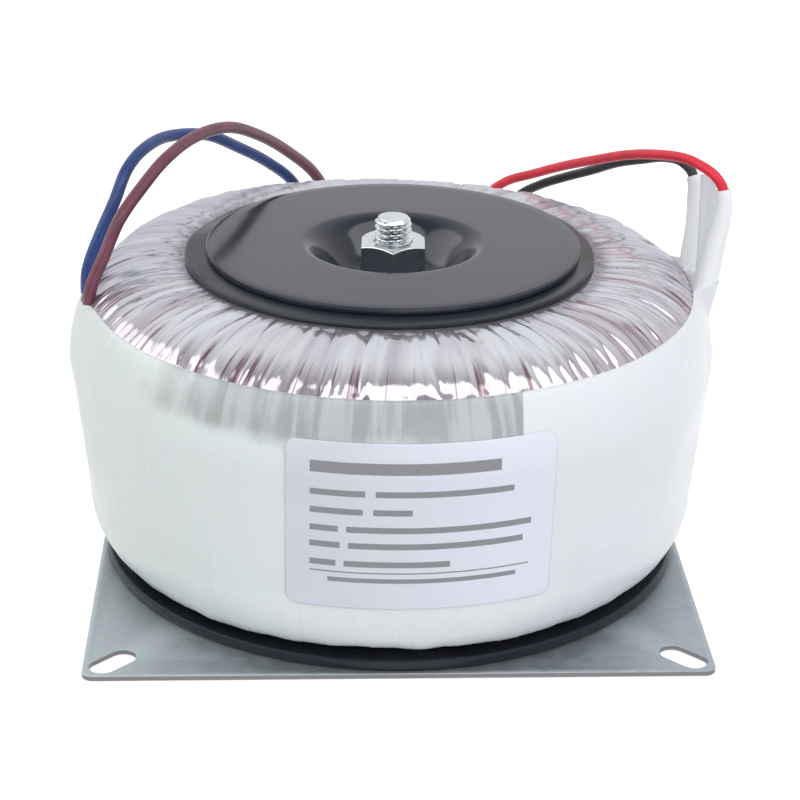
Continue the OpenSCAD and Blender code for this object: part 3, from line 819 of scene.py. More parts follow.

# %% [markdown]
# ## Finish of the milky band
# The band round the wall is milky film that is shrunk on. Real milky film scatters light inside
# itself, but it lies on pale film here, so a plain white with a soft gloss looks the same and costs
# nothing. Light is painted into its colour: it is a little greener on the left and bluer towards the
# right, as the light falls. Under its upper edge, at the front and left, it clings to the coil as if
# it
# were wet: there it is grey and streaked, and the grey stops sharply where a sheet of film below
# ends.

# %% Milky band material
# The wet strip's lower edge, its soft left end and its sharp right end, and how soft each is
WET_LOW, WET_LEFT, WET_END = 0.0665, (-0.062, -0.046), 0.0285
WET_EDGE, SHEET_EDGE, UNEVEN = 0.003, 0.0003, 0.016
# painted light: the white and the wet grey are greener on the left and bluer on the right
MILKY_IN_LEFT_LIGHT, MILKY_IN_RIGHT_LIGHT, CREAM = (0.76, 0.825, 0.825), (0.79, 0.825, 0.885), (0.79, 0.81, 0.75)
SOAKED_IN_LEFT_LIGHT, SOAKED_IN_RIGHT_LIGHT, DRY_STREAK = (0.36, 0.40, 0.385), (0.32, 0.345, 0.40), (0.49, 0.53, 0.55)

milky_film, tree, shader = new_finish("shrunk_milky_film", IOR=1.5)
place = split(tree, object_place(tree))
# a share from left to right that carries painted light
painted_light_across = ramp(tree, place["X"], -0.08, 0.07)
cloud = use_group(tree, grain_group, Scale=55.0, Detail=4.0)
streak = use_group(tree, streak_group, Count=30.0, Stretch=25.0, Slant=0.0, Detail=3.0)
fine = use_group(tree, streak_group, Count=150.0, Stretch=8.0, Slant=0.0, Detail=1.0)

colour = tint(tree, painted_light_across, MILKY_IN_LEFT_LIGHT, MILKY_IN_RIGHT_LIGHT)
colour = tint(tree, times(tree, ramp(tree, cloud, 0.3, 0.8), 0.12), colour, CREAM)
uneven = times(tree, about_zero(tree, cloud), UNEVEN)
wet = times(tree, ramp(tree, plus(tree, place["Z"], uneven), WET_LOW - WET_EDGE, WET_LOW + WET_EDGE),
            ramp(tree, plus(tree, place["X"], times(tree, uneven, 3.0)), *WET_LEFT))
wet = times(tree, wet, ramp(tree, place["X"], WET_END + SHEET_EDGE, WET_END - SHEET_EDGE))
wet = times(tree, wet, calc(tree, "LESS_THAN", place["Y"], 0.0))
soaked = tint(tree, painted_light_across, SOAKED_IN_LEFT_LIGHT, SOAKED_IN_RIGHT_LIGHT)
soaked = tint(tree, ramp(tree, streak, 0.40, 0.62), soaked, DRY_STREAK)
colour = tint(tree, times(tree, wet, 0.92), colour, soaked)
colour = tint(tree, times(tree, ramp(tree, fine, 0.5, 0.75), 0.12), colour, (0.60, 0.62, 0.64))
relief = bump(tree, fine, 0.05, strength=0.5)
relief = bump(tree, streak, 0.3, relief, strength=0.35)
wire_in(tree, shader, Base_Color=colour, Roughness=ramp(tree, cloud, 0.3, 0.7, 0.24, 0.40),
        Normal=relief)
print("milky film has", len(tree.nodes), "nodes")

# %% [markdown]
# ## The milky band
# The band is thin and closed, so it is turned from a section that goes up the outside and down the
# inside. Where a lead comes out, it is stretched over the lead like a tent. Shrinkwrap could pull it
# there, but it would cling to every bend of the lead. A rule is calmer: at each lead the radius is
# the larger of the band's own and the lead's back, with a slope on both sides, blended softly.

# %% Stretched over the leads
# Over each lead the tent is round up to CREST of the lead's radius, and beyond it falls straight
CLEARANCE, CREST, BLEND, BLEND_WIDTH = 0.12, 0.7, 0.18, 0.35
SLOPE_START, SLOPE = 0.714, 0.98


def over_leads(points):
    """Lifts points of the band over the leads and sleeves that come out below its upper edge."""
    points = points.copy()
    angle = np.arctan2(points[:, 1], points[:, 0])
    radius = np.hypot(points[:, 0], points[:, 1])
    for colour, route in ROUTES.items():
        first, last = np.array(route[0], float), np.array(route[2], float)
        share = ((points[:, 2] - first[2]) / (last[2] - first[2]))[:, None]
        centre = first + (last - first) * share
        size = LEAD_D[colour] / 2 + CLEARANCE
        if colour in sleeves:
            centre[:, 0] += SLEEVE_SHIFT[colour][0]
            size = SLEEVE_D[colour][0] / 2 + CLEARANCE
        at, out = np.arctan2(centre[:, 1], centre[:, 0]), np.hypot(centre[:, 0], centre[:, 1])
        aside = np.abs(radius * np.sin(angle - at)) / size
        cover = out + size * np.where(aside < CREST, np.sqrt(1 - np.minimum(aside, CREST) ** 2),
                                      SLOPE_START - SLOPE * (aside - CREST))
        cover = np.where((np.cos(angle - at) > 0) & (share[:, 0] > 0), cover, 0)
        gap = np.abs(radius - cover)
        radius = np.maximum(radius, cover) + BLEND * np.exp(-gap / BLEND_WIDTH) * (cover > 0)
    points[:, 0], points[:, 1] = np.cos(angle) * radius, np.sin(angle) * radius
    return points


def between(line, low, high):
    """The part of the line between two heights."""
    fine = even(line, 4000)
    return fine[(fine[:, 1] >= low) & (fine[:, 1] <= high)]


print("the band clears each lead by", CLEARANCE, "mm")

# %% Shape of the band
# The two faces of the band, measured outwards from the coil's own line
BAND_OUT, BAND_IN, BAND_TURNS = 0.2, 0.04, 900
# At the left leads the upper edge is lower, and the film beside them is pulled loose
LOWERED, LOWERED_AT, LOWERED_WIDTH = 4.0, 181, 8
PULLED, PULLED_AT, PULLED_WIDTH, PULLED_SLACK = 0.2, 194, 13, 1.6
# The lower edge is ragged: the height of each wave, how many go round, and where it starts
RAGGED = [(0.22, 7, 1), (0.16, 19, 2.2), (0.12, 43, 0.4)]

outside = even(between(outer_line(BAND_OUT), BAND_LOW, BAND_TOP), 62)[::-1]
inside = even(between(outer_line(BAND_IN), BAND_LOW + 0.05, BAND_TOP - 0.05), 14)
band_section = np.vstack([outside, inside])
on_outside = np.arange(len(band_section)) < len(outside)
milky_band = lathe("milky_band", band_section, BAND_TURNS)

points = read_points(milky_band)
turned = np.arctan2(points[:, 1], points[:, 0]) % (2 * math.pi)
reach = np.hypot(points[:, 0], points[:, 1])
drop = LOWERED * swell(turned, LOWERED_AT, LOWERED_WIDTH) * step(points[:, 2], 64, BAND_TOP)
bare = outer_line()
grown = wall_radius(bare, points[:, 2] - drop) - wall_radius(bare, points[:, 2])
outer_rows = np.tile(on_outside, BAND_TURNS)
pulled = swell(turned, PULLED_AT, PULLED_WIDTH) * step(points[:, 2] - drop, 48, 64) * outer_rows
points[:, :2] *= ((1 + grown / reach) * (1 + PULLED * pulled / reach))[:, None]
points[:, 2] -= drop
points[outer_rows] = over_leads(points[outer_rows])
turned = np.arctan2(points[:, 1], points[:, 0])
ragged = sum(size * np.sin(waves * turned + shift) for size, waves, shift in RAGGED)
points[:, 2] += ragged * (1 - step(points[:, 2], BAND_LOW, BAND_LOW + 5))
write_points(milky_band, points)
print("band edge lowered by", LOWERED, "mm at", LOWERED_AT, "degrees")

# %% [markdown]
# The band takes its folds from the same tree as the film, with other numbers: they are low, and
# grow where the lower edge is drawn in under the foot and a little towards the upper edge.

# %% Folds of the band
BAND_FOLDS = dict(Broad_Height=0.22 * MM, Broad_Count=8.0, Fine_Height=0.16 * MM, Fine_Count=24.0,
                  Sharpness=4.0, Stretch=0.006, Slant=0.0, Wander=0.03, Seed=11.0)


def band_slack(height):
    return 0.35 + 0.65 * (1 - step(height, BAND_LOW, BAND_LOW + 14)) + 0.2 * step(height, 62, 74)


band_along = distances(band_section)
loose = np.tile(band_slack(band_section[:, 1]) * on_outside, BAND_TURNS)
store(milky_band, "loose", loose + PULLED_SLACK * pulled)
store(milky_band, "along", np.tile(band_along, BAND_TURNS))
run_tree(milky_band, FOLD_TREE, Finish=milky_film, **BAND_FOLDS)
finish_piece(milky_band, milky_film, "milky_film", "side_band")

# %% [markdown]
# Between the two sleeves a tail of the film's tape stands up from under the band. It is a narrow
# wedge of sheet, widest at its free end. A flat strip would catch the light like a mirror, so it is
# a small grid that bows a little, and Solidify gives it its thickness.

# %% Tape tail
# Height, left edge and right edge
TAIL = [(74.0, 83.8, 84.2), (77.0, 83.8, 84.9), (85.0, 83.9, 86.6), (92.0, 83.7, 87.6),
        (99.5, 83.6, 88.0), (103.8, 83.4, 87.7)]
TAIL_ROWS, TAIL_COLUMNS, TAIL_BACK, TAIL_BOW, TAIL_LEAN = 26, 5, 8.6, 0.5, 0.012

level, left, right = np.array(TAIL).T
z, u = np.meshgrid(np.linspace(level[0], level[-1], TAIL_ROWS), np.linspace(0, 1, TAIL_COLUMNS),
                   indexing="ij")
x = np.interp(z, level, left) * (1 - u) + np.interp(z, level, right) * u
y = TAIL_BACK + TAIL_BOW * np.sin(math.pi * u) + TAIL_LEAN * (z - level[0])
tape_tail = place_mesh("tape_tail", np.stack([x, y, z], -1).reshape(-1, 3),
                       grid_faces(TAIL_ROWS, TAIL_COLUMNS, False, False))
tape_tail.modifiers.new("tape_thickness", "SOLIDIFY").thickness = 0.2 * MM
finish_piece(tape_tail, milky_film, "milky_film")

# %% [markdown]
# ## The label
# The label stays free of words: a coated white sheet with plain grey bars. A decal could be painted
# on the band, but a real label is a sheet with an edge. So it is a grid on the band that takes the
# same folds from the same tree and the same numbers, and lies on it everywhere. Its corners are
# rounded by squeezing each corner's square of the grid into a quarter circle.

# %% Label sheet
LABEL_W, LABEL_H, LABEL_MID, LABEL_TURN, LABEL_CORNER = 67.5, 46.0, pad_top + 40.0, -87.0, 3.0
LABEL_OUT, LABEL_ROWS, LABEL_COLUMNS = 0.35, 93, 133


def round_corner(u, v, w, h, r):
    """Moves the points of each corner square into a quarter circle."""
    a, b = (np.abs(u) - (w - r)) / r, (np.abs(v) - (h - r)) / r
    inside = (a > 0) & (b > 0)
    a, b = np.clip(a, 0, 1), np.clip(b, 0, 1)
    u2 = np.sign(u) * (w - r + r * a * np.sqrt(1 - b * b / 2))
    v2 = np.sign(v) * (h - r + r * b * np.sqrt(1 - a * a / 2))
    return np.where(inside, u2, u), np.where(inside, v2, v)


u, v = np.meshgrid(np.linspace(-LABEL_W / 2, LABEL_W / 2, LABEL_COLUMNS),
                   np.linspace(-LABEL_H / 2, LABEL_H / 2, LABEL_ROWS))
u, v = round_corner(u, v, LABEL_W / 2, LABEL_H / 2, LABEL_CORNER)
height = LABEL_MID + v
radius = wall_radius(even(outer_line(LABEL_OUT), 4000), height)
angle = math.radians(LABEL_TURN) + u / radius
points = np.stack([radius * np.cos(angle), radius * np.sin(angle), height], -1).reshape(-1, 3)
blank_label = place_mesh("blank_label", points,
                         grid_faces(LABEL_ROWS, LABEL_COLUMNS, False, False))
print("label sheet", LABEL_W, "x", LABEL_H, "mm")

# %% [markdown]
# The bars are drawn in the material from the sheet's own UV map, which is in centimetres. Thin
# boxes on the sheet would do too, but ink has no height. Each bar is one node group with four edges,
# so that a row of print is one line of numbers here. They say nothing, as on a sample label.

# %% Label material
sheet_uv = blank_label.data.uv_layers.new(name="sheet")
corner_points = np.empty(len(blank_label.data.loops), int)
blank_label.data.loops.foreach_get("vertex_index", corner_points)
in_centimetres = np.stack([u.ravel(), v.ravel()], -1)[corner_points] / 10
sheet_uv.data.foreach_set("uv", in_centimetres.ravel())

bar_group, given = new_group("printed_bar", dict.fromkeys(
    ("Across", "Up", "Left", "Right", "Low", "High"), 0.0), "Mask")
inside = [calc(bar_group, "GREATER_THAN", given["Across"], given["Left"]),
          calc(bar_group, "LESS_THAN", given["Across"], given["Right"]),
          calc(bar_group, "GREATER_THAN", given["Up"], given["Low"]),
          calc(bar_group, "LESS_THAN", given["Up"], given["High"])]
put(bar_group, "NodeGroupOutput", {0: times(
    bar_group, times(bar_group, inside[0], inside[1]), times(bar_group, inside[2], inside[3]))})

# One row: its middle height, its own height, and the ends of its bars
BARS = [(1.67, 0.30, (-2.75, 1.90)),
        (0.99, 0.17, (-2.75, -1.40), (-1.15, 2.25)),
        (0.48, 0.17, (-2.75, -1.45), (-1.20, -0.25)),
        (-0.02, 0.17, (-2.75, -2.05), (-1.85, 2.75)),
        (-0.48, 0.17, (-2.75, -2.00), (-1.80, 2.55)),
        (-1.00, 0.17, (-2.75, -2.10), (-1.90, 0.70)),
        (-1.25, 0.04, (-2.75, 2.75)),
        (-1.47, 0.13, (-2.30, 2.40))]
label_stock, tree, shader = new_finish("coated_label", Specular_IOR_Level=0.45)
sheet = split(tree, put(tree, "ShaderNodeUVMap", uv_map="sheet").outputs[0])
printed = 0.0
for middle, tall, *spans in BARS:
    for left, right in spans:
        bar = put(tree, "ShaderNodeGroup", {
            "Across": sheet["X"], "Up": sheet["Y"], "Left": left, "Right": right,
            "Low": middle - tall / 2, "High": middle + tall / 2}, node_tree=bar_group)
        printed = calc(tree, "MAXIMUM", printed, bar.outputs[0])
cloud = use_group(tree, grain_group, Scale=40.0, Detail=3.0)
fibre = use_group(tree, grain_group, Scale=2500.0, Detail=2.0)
# painted light and shade: the white sheet is darker on its left and brighter, bluer on its right
paper_and_light = tint(tree, ramp(tree, sheet["X"], -3.0, 3.0), (0.67, 0.695, 0.775), (0.79, 0.815, 0.93))
paper_and_light = tint(tree, times(tree, ramp(tree, cloud, 0.35, 0.65), 0.3), paper_and_light, (0.79, 0.81, 0.91))
ink = times(tree, printed, ramp(tree, fibre, 0.2, 0.5, 0.86, 1.0))
wire_in(tree, shader, Base_Color=tint(tree, ink, paper_and_light, (0.26, 0.265, 0.29)),
        Roughness=ramp(tree, cloud, 0.3, 0.7, 0.34, 0.46), Normal=bump(tree, fibre, 0.01))
print("label has", sum(len(row) - 2 for row in BARS), "plain bars")

# %% Label on the band
label_height = height.ravel()
store(blank_label, "along", np.interp(-label_height, -outside[::-1, 1],
                                      band_along[:len(outside)][::-1]))
store(blank_label, "loose", band_slack(label_height))
run_tree(blank_label, FOLD_TREE, Finish=label_stock, **BAND_FOLDS)
thick = blank_label.modifiers.new("sheet_thickness", "SOLIDIFY")
thick.thickness, thick.offset = 0.12 * MM, 1.0
finish_piece(blank_label, label_stock, "label_stock", "label")

# %% [markdown]
# ## The pressed disc
# The disc is pressed from 2 mm sheet and enamelled black. Its dish is one smooth wave from the flat
# rim down to the seat under the nut. A spline could be drawn for it by eye, but a cosine has the
# right start, end and steepest place by itself. The sheet keeps its thickness because the back is
# the face moved along its normal, and the rim's two edges are rounded.

# %% Black enamel
black_enamel, tree, shader = new_finish("black_enamel", Specular_IOR_Level=0.48, IOR=1.55)
fine = use_group(tree, grain_group, Scale=700.0, Detail=3.0)
cloud = use_group(tree, grain_group, Scale=30.0, Detail=3.0)
dust = use_group(tree, speck_group, Scale=420.0, Size=0.05)
black = tint(tree, ramp(tree, cloud, 0.35, 0.65), (0.014, 0.017, 0.034), (0.019, 0.022, 0.041))
wire_in(tree, shader, Base_Color=tint(tree, times(tree, dust, 0.5), black, (0.5, 0.5, 0.5)),
        Roughness=ramp(tree, cloud, 0.3, 0.7, 0.12, 0.17), Normal=bump(tree, fine, 0.004))
print("enamel has", len(tree.nodes), "nodes")

# %% Pressed disc
DISC_T, DISH_R, SEAT_R, DISH_DEPTH, DISC_HOLE, RIM_ROUND = 2.0, 25.0, 11.0, 11.5, 5.7, 0.5
disc_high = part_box("clamp_disc")[1]
disc_top, DISC_R = disc_high.z / MM, disc_high.x / MM


def pressed_face(r, depth, seat, rim):
    """Height and slope of the dish at a radius."""
    share = np.clip((r - seat) / (rim - seat), 0, 1)
    fall = -depth * (1 + np.cos(math.pi * share)) / 2
    steep = depth * math.pi * np.sin(math.pi * share) / (2 * (rim - seat))
    return fall, np.where((r > seat) & (r < rim), steep, 0)


def round_rim(outer, edge, size, start, steps=5):
    """A quarter circle from one angle on. It touches the outer radius and the edge's height."""
    t = np.radians(np.linspace(start, start + 90, steps))
    middle = edge + size if start < 0 else edge - size
    return np.column_stack([outer - size + size * np.cos(t), middle + size * np.sin(t)])


radii = np.concatenate([np.linspace(DISC_HOLE, SEAT_R, 4)[:-1], np.linspace(SEAT_R, DISH_R, 44),
                        np.linspace(DISH_R, DISC_R - RIM_ROUND, 10)[1:]])
fall, slope = pressed_face(radii, DISH_DEPTH, SEAT_R, DISH_R)
face = np.column_stack([radii, disc_top + fall])
normal = np.column_stack([-slope, np.ones_like(slope)]) / np.hypot(1, slope)[:, None]
back = face - DISC_T * normal
disc_section = np.vstack([back[:-1], round_rim(DISC_R, disc_top - DISC_T, RIM_ROUND, -90),
                          round_rim(DISC_R, disc_top, RIM_ROUND, 0), face[::-1][1:]])
pressed_disc = lathe("pressed_disc", disc_section, 240)
finish_piece(pressed_disc, black_enamel, "black_steel", "clamp_disc")
sharp_by_angle(pressed_disc, 50)

# %% [markdown]
# ## The rubber pads
# Two rings of black rubber sheet hold the coil between the disc and the plate. A plain ring would
# look like metal. Cut rubber has soft edges and isn't quite flat: under the disc it is squeezed, and
# outside it the rim drops a little on the folds of the film. So each pad is turned with round edges,
# and then its points are moved by three waves of different lengths. The lower pad lies in the dust
# of the plate and is the duller one of the two.

# %% Rubber
def cut_rubber(name, gloss):
    material, tree, shader = new_finish(name, Specular_IOR_Level=gloss)
    fine = use_group(tree, grain_group, Scale=900.0, Detail=4.0)
    cloud = use_group(tree, grain_group, Scale=45.0, Detail=3.0)
    dust = use_group(tree, speck_group, Scale=500.0, Size=0.10)
    black = tint(tree, ramp(tree, cloud, 0.3, 0.7), (0.014, 0.018, 0.027), (0.022, 0.027, 0.038))
    wire_in(tree, shader, Base_Color=tint(tree, times(tree, dust, 0.25), black, (0.4, 0.42, 0.45)),
            Roughness=ramp(tree, cloud, 0.3, 0.7, 0.22, 0.34), Normal=bump(tree, fine, 0.012))
    return material


upper_rubber, lower_rubber = cut_rubber("cut_rubber", 0.47), cut_rubber("dull_rubber", 0.22)
print("two rubbers ready")

# %% Pads
PAD_WAVES = [(1.0, 3, 0.7), (0.6, 7, 2.1), (0.4, 13, 4.0)]
PAD_RIM, PAD_SHRINK, PAD_POINTS = 5.0, 0.0015, 14


def pad_ring(name, node, rubber, inner, rounding, droop, off=(0.0, 0.0)):
    low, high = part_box(node)
    bottom, top, outer = low.z / MM, high.z / MM, high.x / MM
    across = np.linspace(inner, outer - rounding, PAD_POINTS)
    section = np.vstack([np.column_stack([across, np.full(PAD_POINTS, bottom)]),
                         round_rim(outer, bottom, rounding, -90, 6),
                         round_rim(outer, top, rounding, 0, 6),
                         np.column_stack([across[::-1], np.full(PAD_POINTS, top)])])
    piece = lathe(name, section, 240)
    points = read_points(piece)
    angle = np.arctan2(points[:, 1], points[:, 0])
    free = step(np.hypot(points[:, 0], points[:, 1]), outer - PAD_RIM, outer)
    wave = sum(size * np.sin(waves * angle + shift) for size, waves, shift in PAD_WAVES) / 2
    upper_face = points[:, 2] > bottom + 0.4 * (top - bottom)
    points[:, 2] -= free * droop * (1 + wave) * upper_face
    points[:, :2] *= (1 - free * PAD_SHRINK * (1 + wave))[:, None]
    points[:, :2] += off
    write_points(piece, points)
    finish_piece(piece, rubber, "black_pad", node)
    sharp_by_angle(piece, 50)


pad_ring("upper_pad_ring", "upper_pad", upper_rubber, DISH_R + 1.0, 0.55, 0.50, (-0.8, 0.6))
pad_ring("lower_pad_ring", "lower_pad", lower_rubber, HOLE_R, 0.6, 0.08)

# %% [markdown]
# ## The mounting plate
# The plate is cut from galvanised sheet. Its shape is already right in the solid, so it isn't drawn
# again, but a cut edge is never a perfect corner: the shear rolls it over. So a copy of the solid's
# mesh is merged into one surface, its flat faces are made whole again, and every real edge gets a
# small bevel. The zinc shows as a fine spangle: cells of slightly different grey, drawn by a Voronoi
# texture whose borders a noise makes uneven. Its grey is lighter towards the left and darker towards
# the right, which is painted shade. The zinc was there before the cut: upright faces show bare steel,
# and their dark colour is also painted shade.

# %% Galvanised steel
# painted shade: the zinc darker on the right, and the bare steel of the cut faces darkened
ZINC_LIT_LEFT, ZINC_SHADED_RIGHT, CUT_STEEL_AND_SHADE = (0.54, 0.61, 0.64), (0.40, 0.445, 0.50), (0.21, 0.20, 0.205)
SPANGLE_SIZE, SPANGLE_BEND = 420.0, 0.0012

galvanised, tree, shader = new_finish("galvanised_sheet", Metallic=0.85)
spot = object_place(tree)
painted_light_across = ramp(tree, split(tree, spot)["X"], -0.08, 0.08)
bent = put(tree, "ShaderNodeTexNoise", {"Vector": spot, "Scale": 400.0, "Detail": 2.0})
spot = put(tree, "ShaderNodeVectorMath", {0: bent.outputs["Color"], 1: (SPANGLE_BEND,) * 3, 2: spot},
           operation="MULTIPLY_ADD").outputs[0]
spangle = put(tree, "ShaderNodeTexVoronoi", {"Vector": spot, "Scale": SPANGLE_SIZE})
spangle = split(tree, spangle.outputs["Color"])
cloud = use_group(tree, grain_group, Scale=18.0, Detail=4.0)
fine = use_group(tree, grain_group, Scale=1800.0, Detail=3.0)
pits = use_group(tree, speck_group, Scale=260.0, Size=0.055)
# painted shade: the grey grows darker towards the right
grey = tint(tree, painted_light_across, ZINC_LIT_LEFT, ZINC_SHADED_RIGHT)
grey = tint(tree, times(tree, spangle["X"], 0.35), grey, (0.60, 0.65, 0.67))
grey = tint(tree, times(tree, ramp(tree, cloud, 0.3, 0.7), 0.35), grey, (0.57, 0.62, 0.64))
grey = tint(tree, times(tree, pits, 0.7), grey, (0.75, 0.74, 0.70))
faces_up = split(tree, put(tree, "ShaderNodeNewGeometry").outputs["True Normal"])["Z"]
# upright cut faces: bare steel, made dark as painted shade
grey = tint(tree, ramp(tree, calc(tree, "ABSOLUTE", faces_up), 0.35, 0.15), grey, CUT_STEEL_AND_SHADE)
rough = plus(tree, ramp(tree, spangle["Y"], 0.0, 1.0, 0.36, 0.44), times(tree, fine, 0.08))
wire_in(tree, shader, Base_Color=grey, Roughness=rough, Normal=bump(tree, fine, 0.008))
print("galvanised sheet has", len(tree.nodes), "nodes")

# %% Mounting plate
EDGE_BEVEL, MERGE, FLAT_WITHIN, REAL_EDGE = 0.22, 0.001, 0.2, 60

plate_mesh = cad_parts["base_plate"].data.copy()
shape = bmesh.new()
shape.from_mesh(plate_mesh)
bmesh.ops.remove_doubles(shape, verts=shape.verts, dist=MERGE * MM)
bmesh.ops.dissolve_limit(shape, angle_limit=math.radians(FLAT_WITHIN), verts=shape.verts,
                         edges=shape.edges)
edges = [edge for edge in shape.edges
         if len(edge.link_faces) == 2 and edge.calc_face_angle() > math.radians(REAL_EDGE)]
bmesh.ops.bevel(shape, geom=edges, offset=EDGE_BEVEL * MM, segments=3, affect="EDGES",
                profile=0.5, clamp_overlap=True)
shape.to_mesh(plate_mesh)
shape.free()
mounting_plate = add_object("mounting_plate", plate_mesh)
sharp_by_angle(mounting_plate, 30)
finish_piece(mounting_plate, galvanised, "galvanised_plate", "base_plate")

# %% [markdown]
# ## Bright zinc on the fasteners
# Nut, bolt and washers are steel with a bright zinc coat: a metal with a faint blue tone and a soft
# blur. A smooth metal would mirror the room like chrome, so the blur changes from place to place and
# a very fine grain breaks the reflections up.

# %% Zinc
zinc, tree, shader = new_finish("bright_zinc", Metallic=1.0)
fine = use_group(tree, grain_group, Scale=1500.0, Detail=4.0)
cloud = use_group(tree, grain_group, Scale=260.0, Detail=3.0)
silver = tint(tree, ramp(tree, cloud, 0.3, 0.7), (0.66, 0.70, 0.73), (0.74, 0.78, 0.81))
wire_in(tree, shader, Base_Color=silver, Roughness=ramp(tree, cloud, 0.3, 0.7, 0.14, 0.26),
        Normal=bump(tree, fine, 0.006))
print("zinc has", len(tree.nodes), "nodes")

# %% [markdown]
# ## Nut and bolt
# A hexagon nut is turned on both faces before it is cut, which leaves a cone that meets the flats in
# six arcs. A prism cut by a cone with a Boolean gives the same, with long thin faces that shade
# badly. In polar form it is short: the hexagon's radius follows the angle, and beyond the cone's
# start the height falls with the radius. The bolt's head is the same shape. The thread is a grid on
# a cylinder whose radius follows the height less the turn, so the groove winds upwards.

# %% Hexagon shapes
ACROSS_FLATS, CORNER_AT, CONE_START, BOLT_R = 17.0, 28.0, 0.96, 5.0
flat_r = ACROSS_FLATS / 2 * CONE_START


def hexagon_radius(angle):
    """The hexagon's radius at an angle."""
    from_flat = (angle - math.radians(CORNER_AT)) % (math.pi / 3) - math.pi / 6
    return ACROSS_FLATS / 2 / np.cos(from_flat)


def cone_drop(radius):
    return np.maximum(radius - flat_r, 0) * math.tan(math.radians(30))


def polar_piece(name, rows, turns):
    """Joins rings of (radius, height) that change with the angle. The rows run anticlockwise."""
    rings = np.array([[np.broadcast_to(r, turns), np.broadcast_to(z, turns)] for r, z in rows])
    angles = ring_angles(turns)
    points = np.stack([rings[:, 0] * np.cos(angles), rings[:, 0] * np.sin(angles), rings[:, 1]], -1)
    return place_mesh(name, points.reshape(-1, 3), grid_faces(len(rows), turns))


print("hexagon", ACROSS_FLATS, "mm across flats")

# %% Nut
NUT_TURNS, BORE_R, COUNTERSINK, WORN_EDGE = 360, BOLT_R + 0.03, (0.45, 0.7), 0.12

nut_low, nut_high = (corner_point.z / MM for corner_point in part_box("hex_nut"))
hexagon = hexagon_radius(ring_angles(NUT_TURNS))
halfway = flat_r + (hexagon - flat_r) / 2
nut = polar_piece("nut", [
    (BORE_R + COUNTERSINK[0], nut_low), (flat_r, nut_low),
    (halfway, nut_low + cone_drop(halfway)), (hexagon, nut_low + cone_drop(hexagon)),
    (hexagon, nut_high - cone_drop(hexagon)), (halfway, nut_high - cone_drop(halfway)),
    (flat_r, nut_high), (BORE_R + COUNTERSINK[1], nut_high),
    (BORE_R, nut_high - COUNTERSINK[1]), (BORE_R, nut_low + COUNTERSINK[0])], NUT_TURNS)
bevel = nut.modifiers.new("worn_edges", "BEVEL")
bevel.width, bevel.segments, bevel.limit_method = WORN_EDGE * MM, 2, "ANGLE"
bevel.angle_limit = math.radians(25)
finish_piece(nut, zinc, "zinc", "hex_nut")
sharp_by_angle(nut, 25)

# %% Threaded bolt
HEAD_H, FILLET, SHANK_R, BOLT_TURNS = 6.4, 0.35, BOLT_R - 0.03, 90
PITCH, THREAD_R, THREAD_FROM, RUN_OUT, ROWS_PER_TURN = 1.5, BOLT_R - 0.06, 52.0, 3, 14
THREAD_DEPTH, END_CHAMFER, CHAMFER_SLOPE = 0.86, 1.15, 0.85

bolt_low, bolt_high = (corner_point.z / MM for corner_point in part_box("clamp_bolt"))
head_top = bolt_low + HEAD_H


def thread_radius(angle, z):
    """Sixty degree thread with flat crests, less deep where it runs out."""
    phase = ((z - angle / (2 * math.pi) * PITCH) / PITCH) % 1.0
    groove = np.clip((0.5 - np.abs(phase - 0.5)) / 0.5, 0, 1)
    depth = THREAD_DEPTH * np.clip(1.25 * groove - 0.12, 0, 0.95)
    return THREAD_R - depth * np.clip((z - THREAD_FROM) / RUN_OUT, 0, 1)


round_angles = ring_angles(BOLT_TURNS)
head = hexagon_radius(round_angles)
rows = [(0.001, bolt_low), (flat_r * 0.98, bolt_low), (head, bolt_low + cone_drop(head)),
        (head, head_top), (BOLT_R + 0.3, head_top), (SHANK_R, head_top + FILLET),
        (SHANK_R, THREAD_FROM - 0.2)]
for z in np.arange(THREAD_FROM, bolt_high, PITCH / ROWS_PER_TURN):
    end = THREAD_R - np.maximum(z - (bolt_high - END_CHAMFER), 0) * CHAMFER_SLOPE
    rows.append((np.minimum(thread_radius(round_angles, z), end), z))
rows += [(BOLT_R - 1.15, bolt_high - 0.08), (BOLT_R - 1.4, bolt_high), (2.0, bolt_high - 0.03),
         (0.001, bolt_high - 0.04)]
threaded_bolt = polar_piece("threaded_bolt", rows, BOLT_TURNS)
finish_piece(threaded_bolt, zinc, "zinc", "clamp_bolt")
sharp_by_angle(threaded_bolt, 32)

# %% [markdown]
# A plain washer is turned like the disc. A spring washer is one open turn of square wire with its
# cut at a slant: a closed ring would hide that, so its section is swept round to just short of a
# full turn, and both ends are closed.

# %% Washers
WASHER_R, WASHER_ROUND = BOLT_R + 0.25, 0.3
SPLIT, SPLIT_AT, SPLIT_SLANT, SPRING_EDGE, SPRING_STEPS = 8, -62, 0.09, 0.25, 90


def washer_box(node):
    low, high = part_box(node)
    return low.z / MM, high.z / MM, high.x / MM


z0, z1, outer = washer_box("flat_washer")
washer_section = np.vstack([[[WASHER_R, z0]], round_rim(outer, z0, WASHER_ROUND, -90, 4),
                            round_rim(outer, z1, WASHER_ROUND, 0, 4), [[WASHER_R, z1]]])
flat_ring = lathe("plain_washer", washer_section, 96)
finish_piece(flat_ring, zinc, "zinc", "flat_washer")
sharp_by_angle(flat_ring, 40)

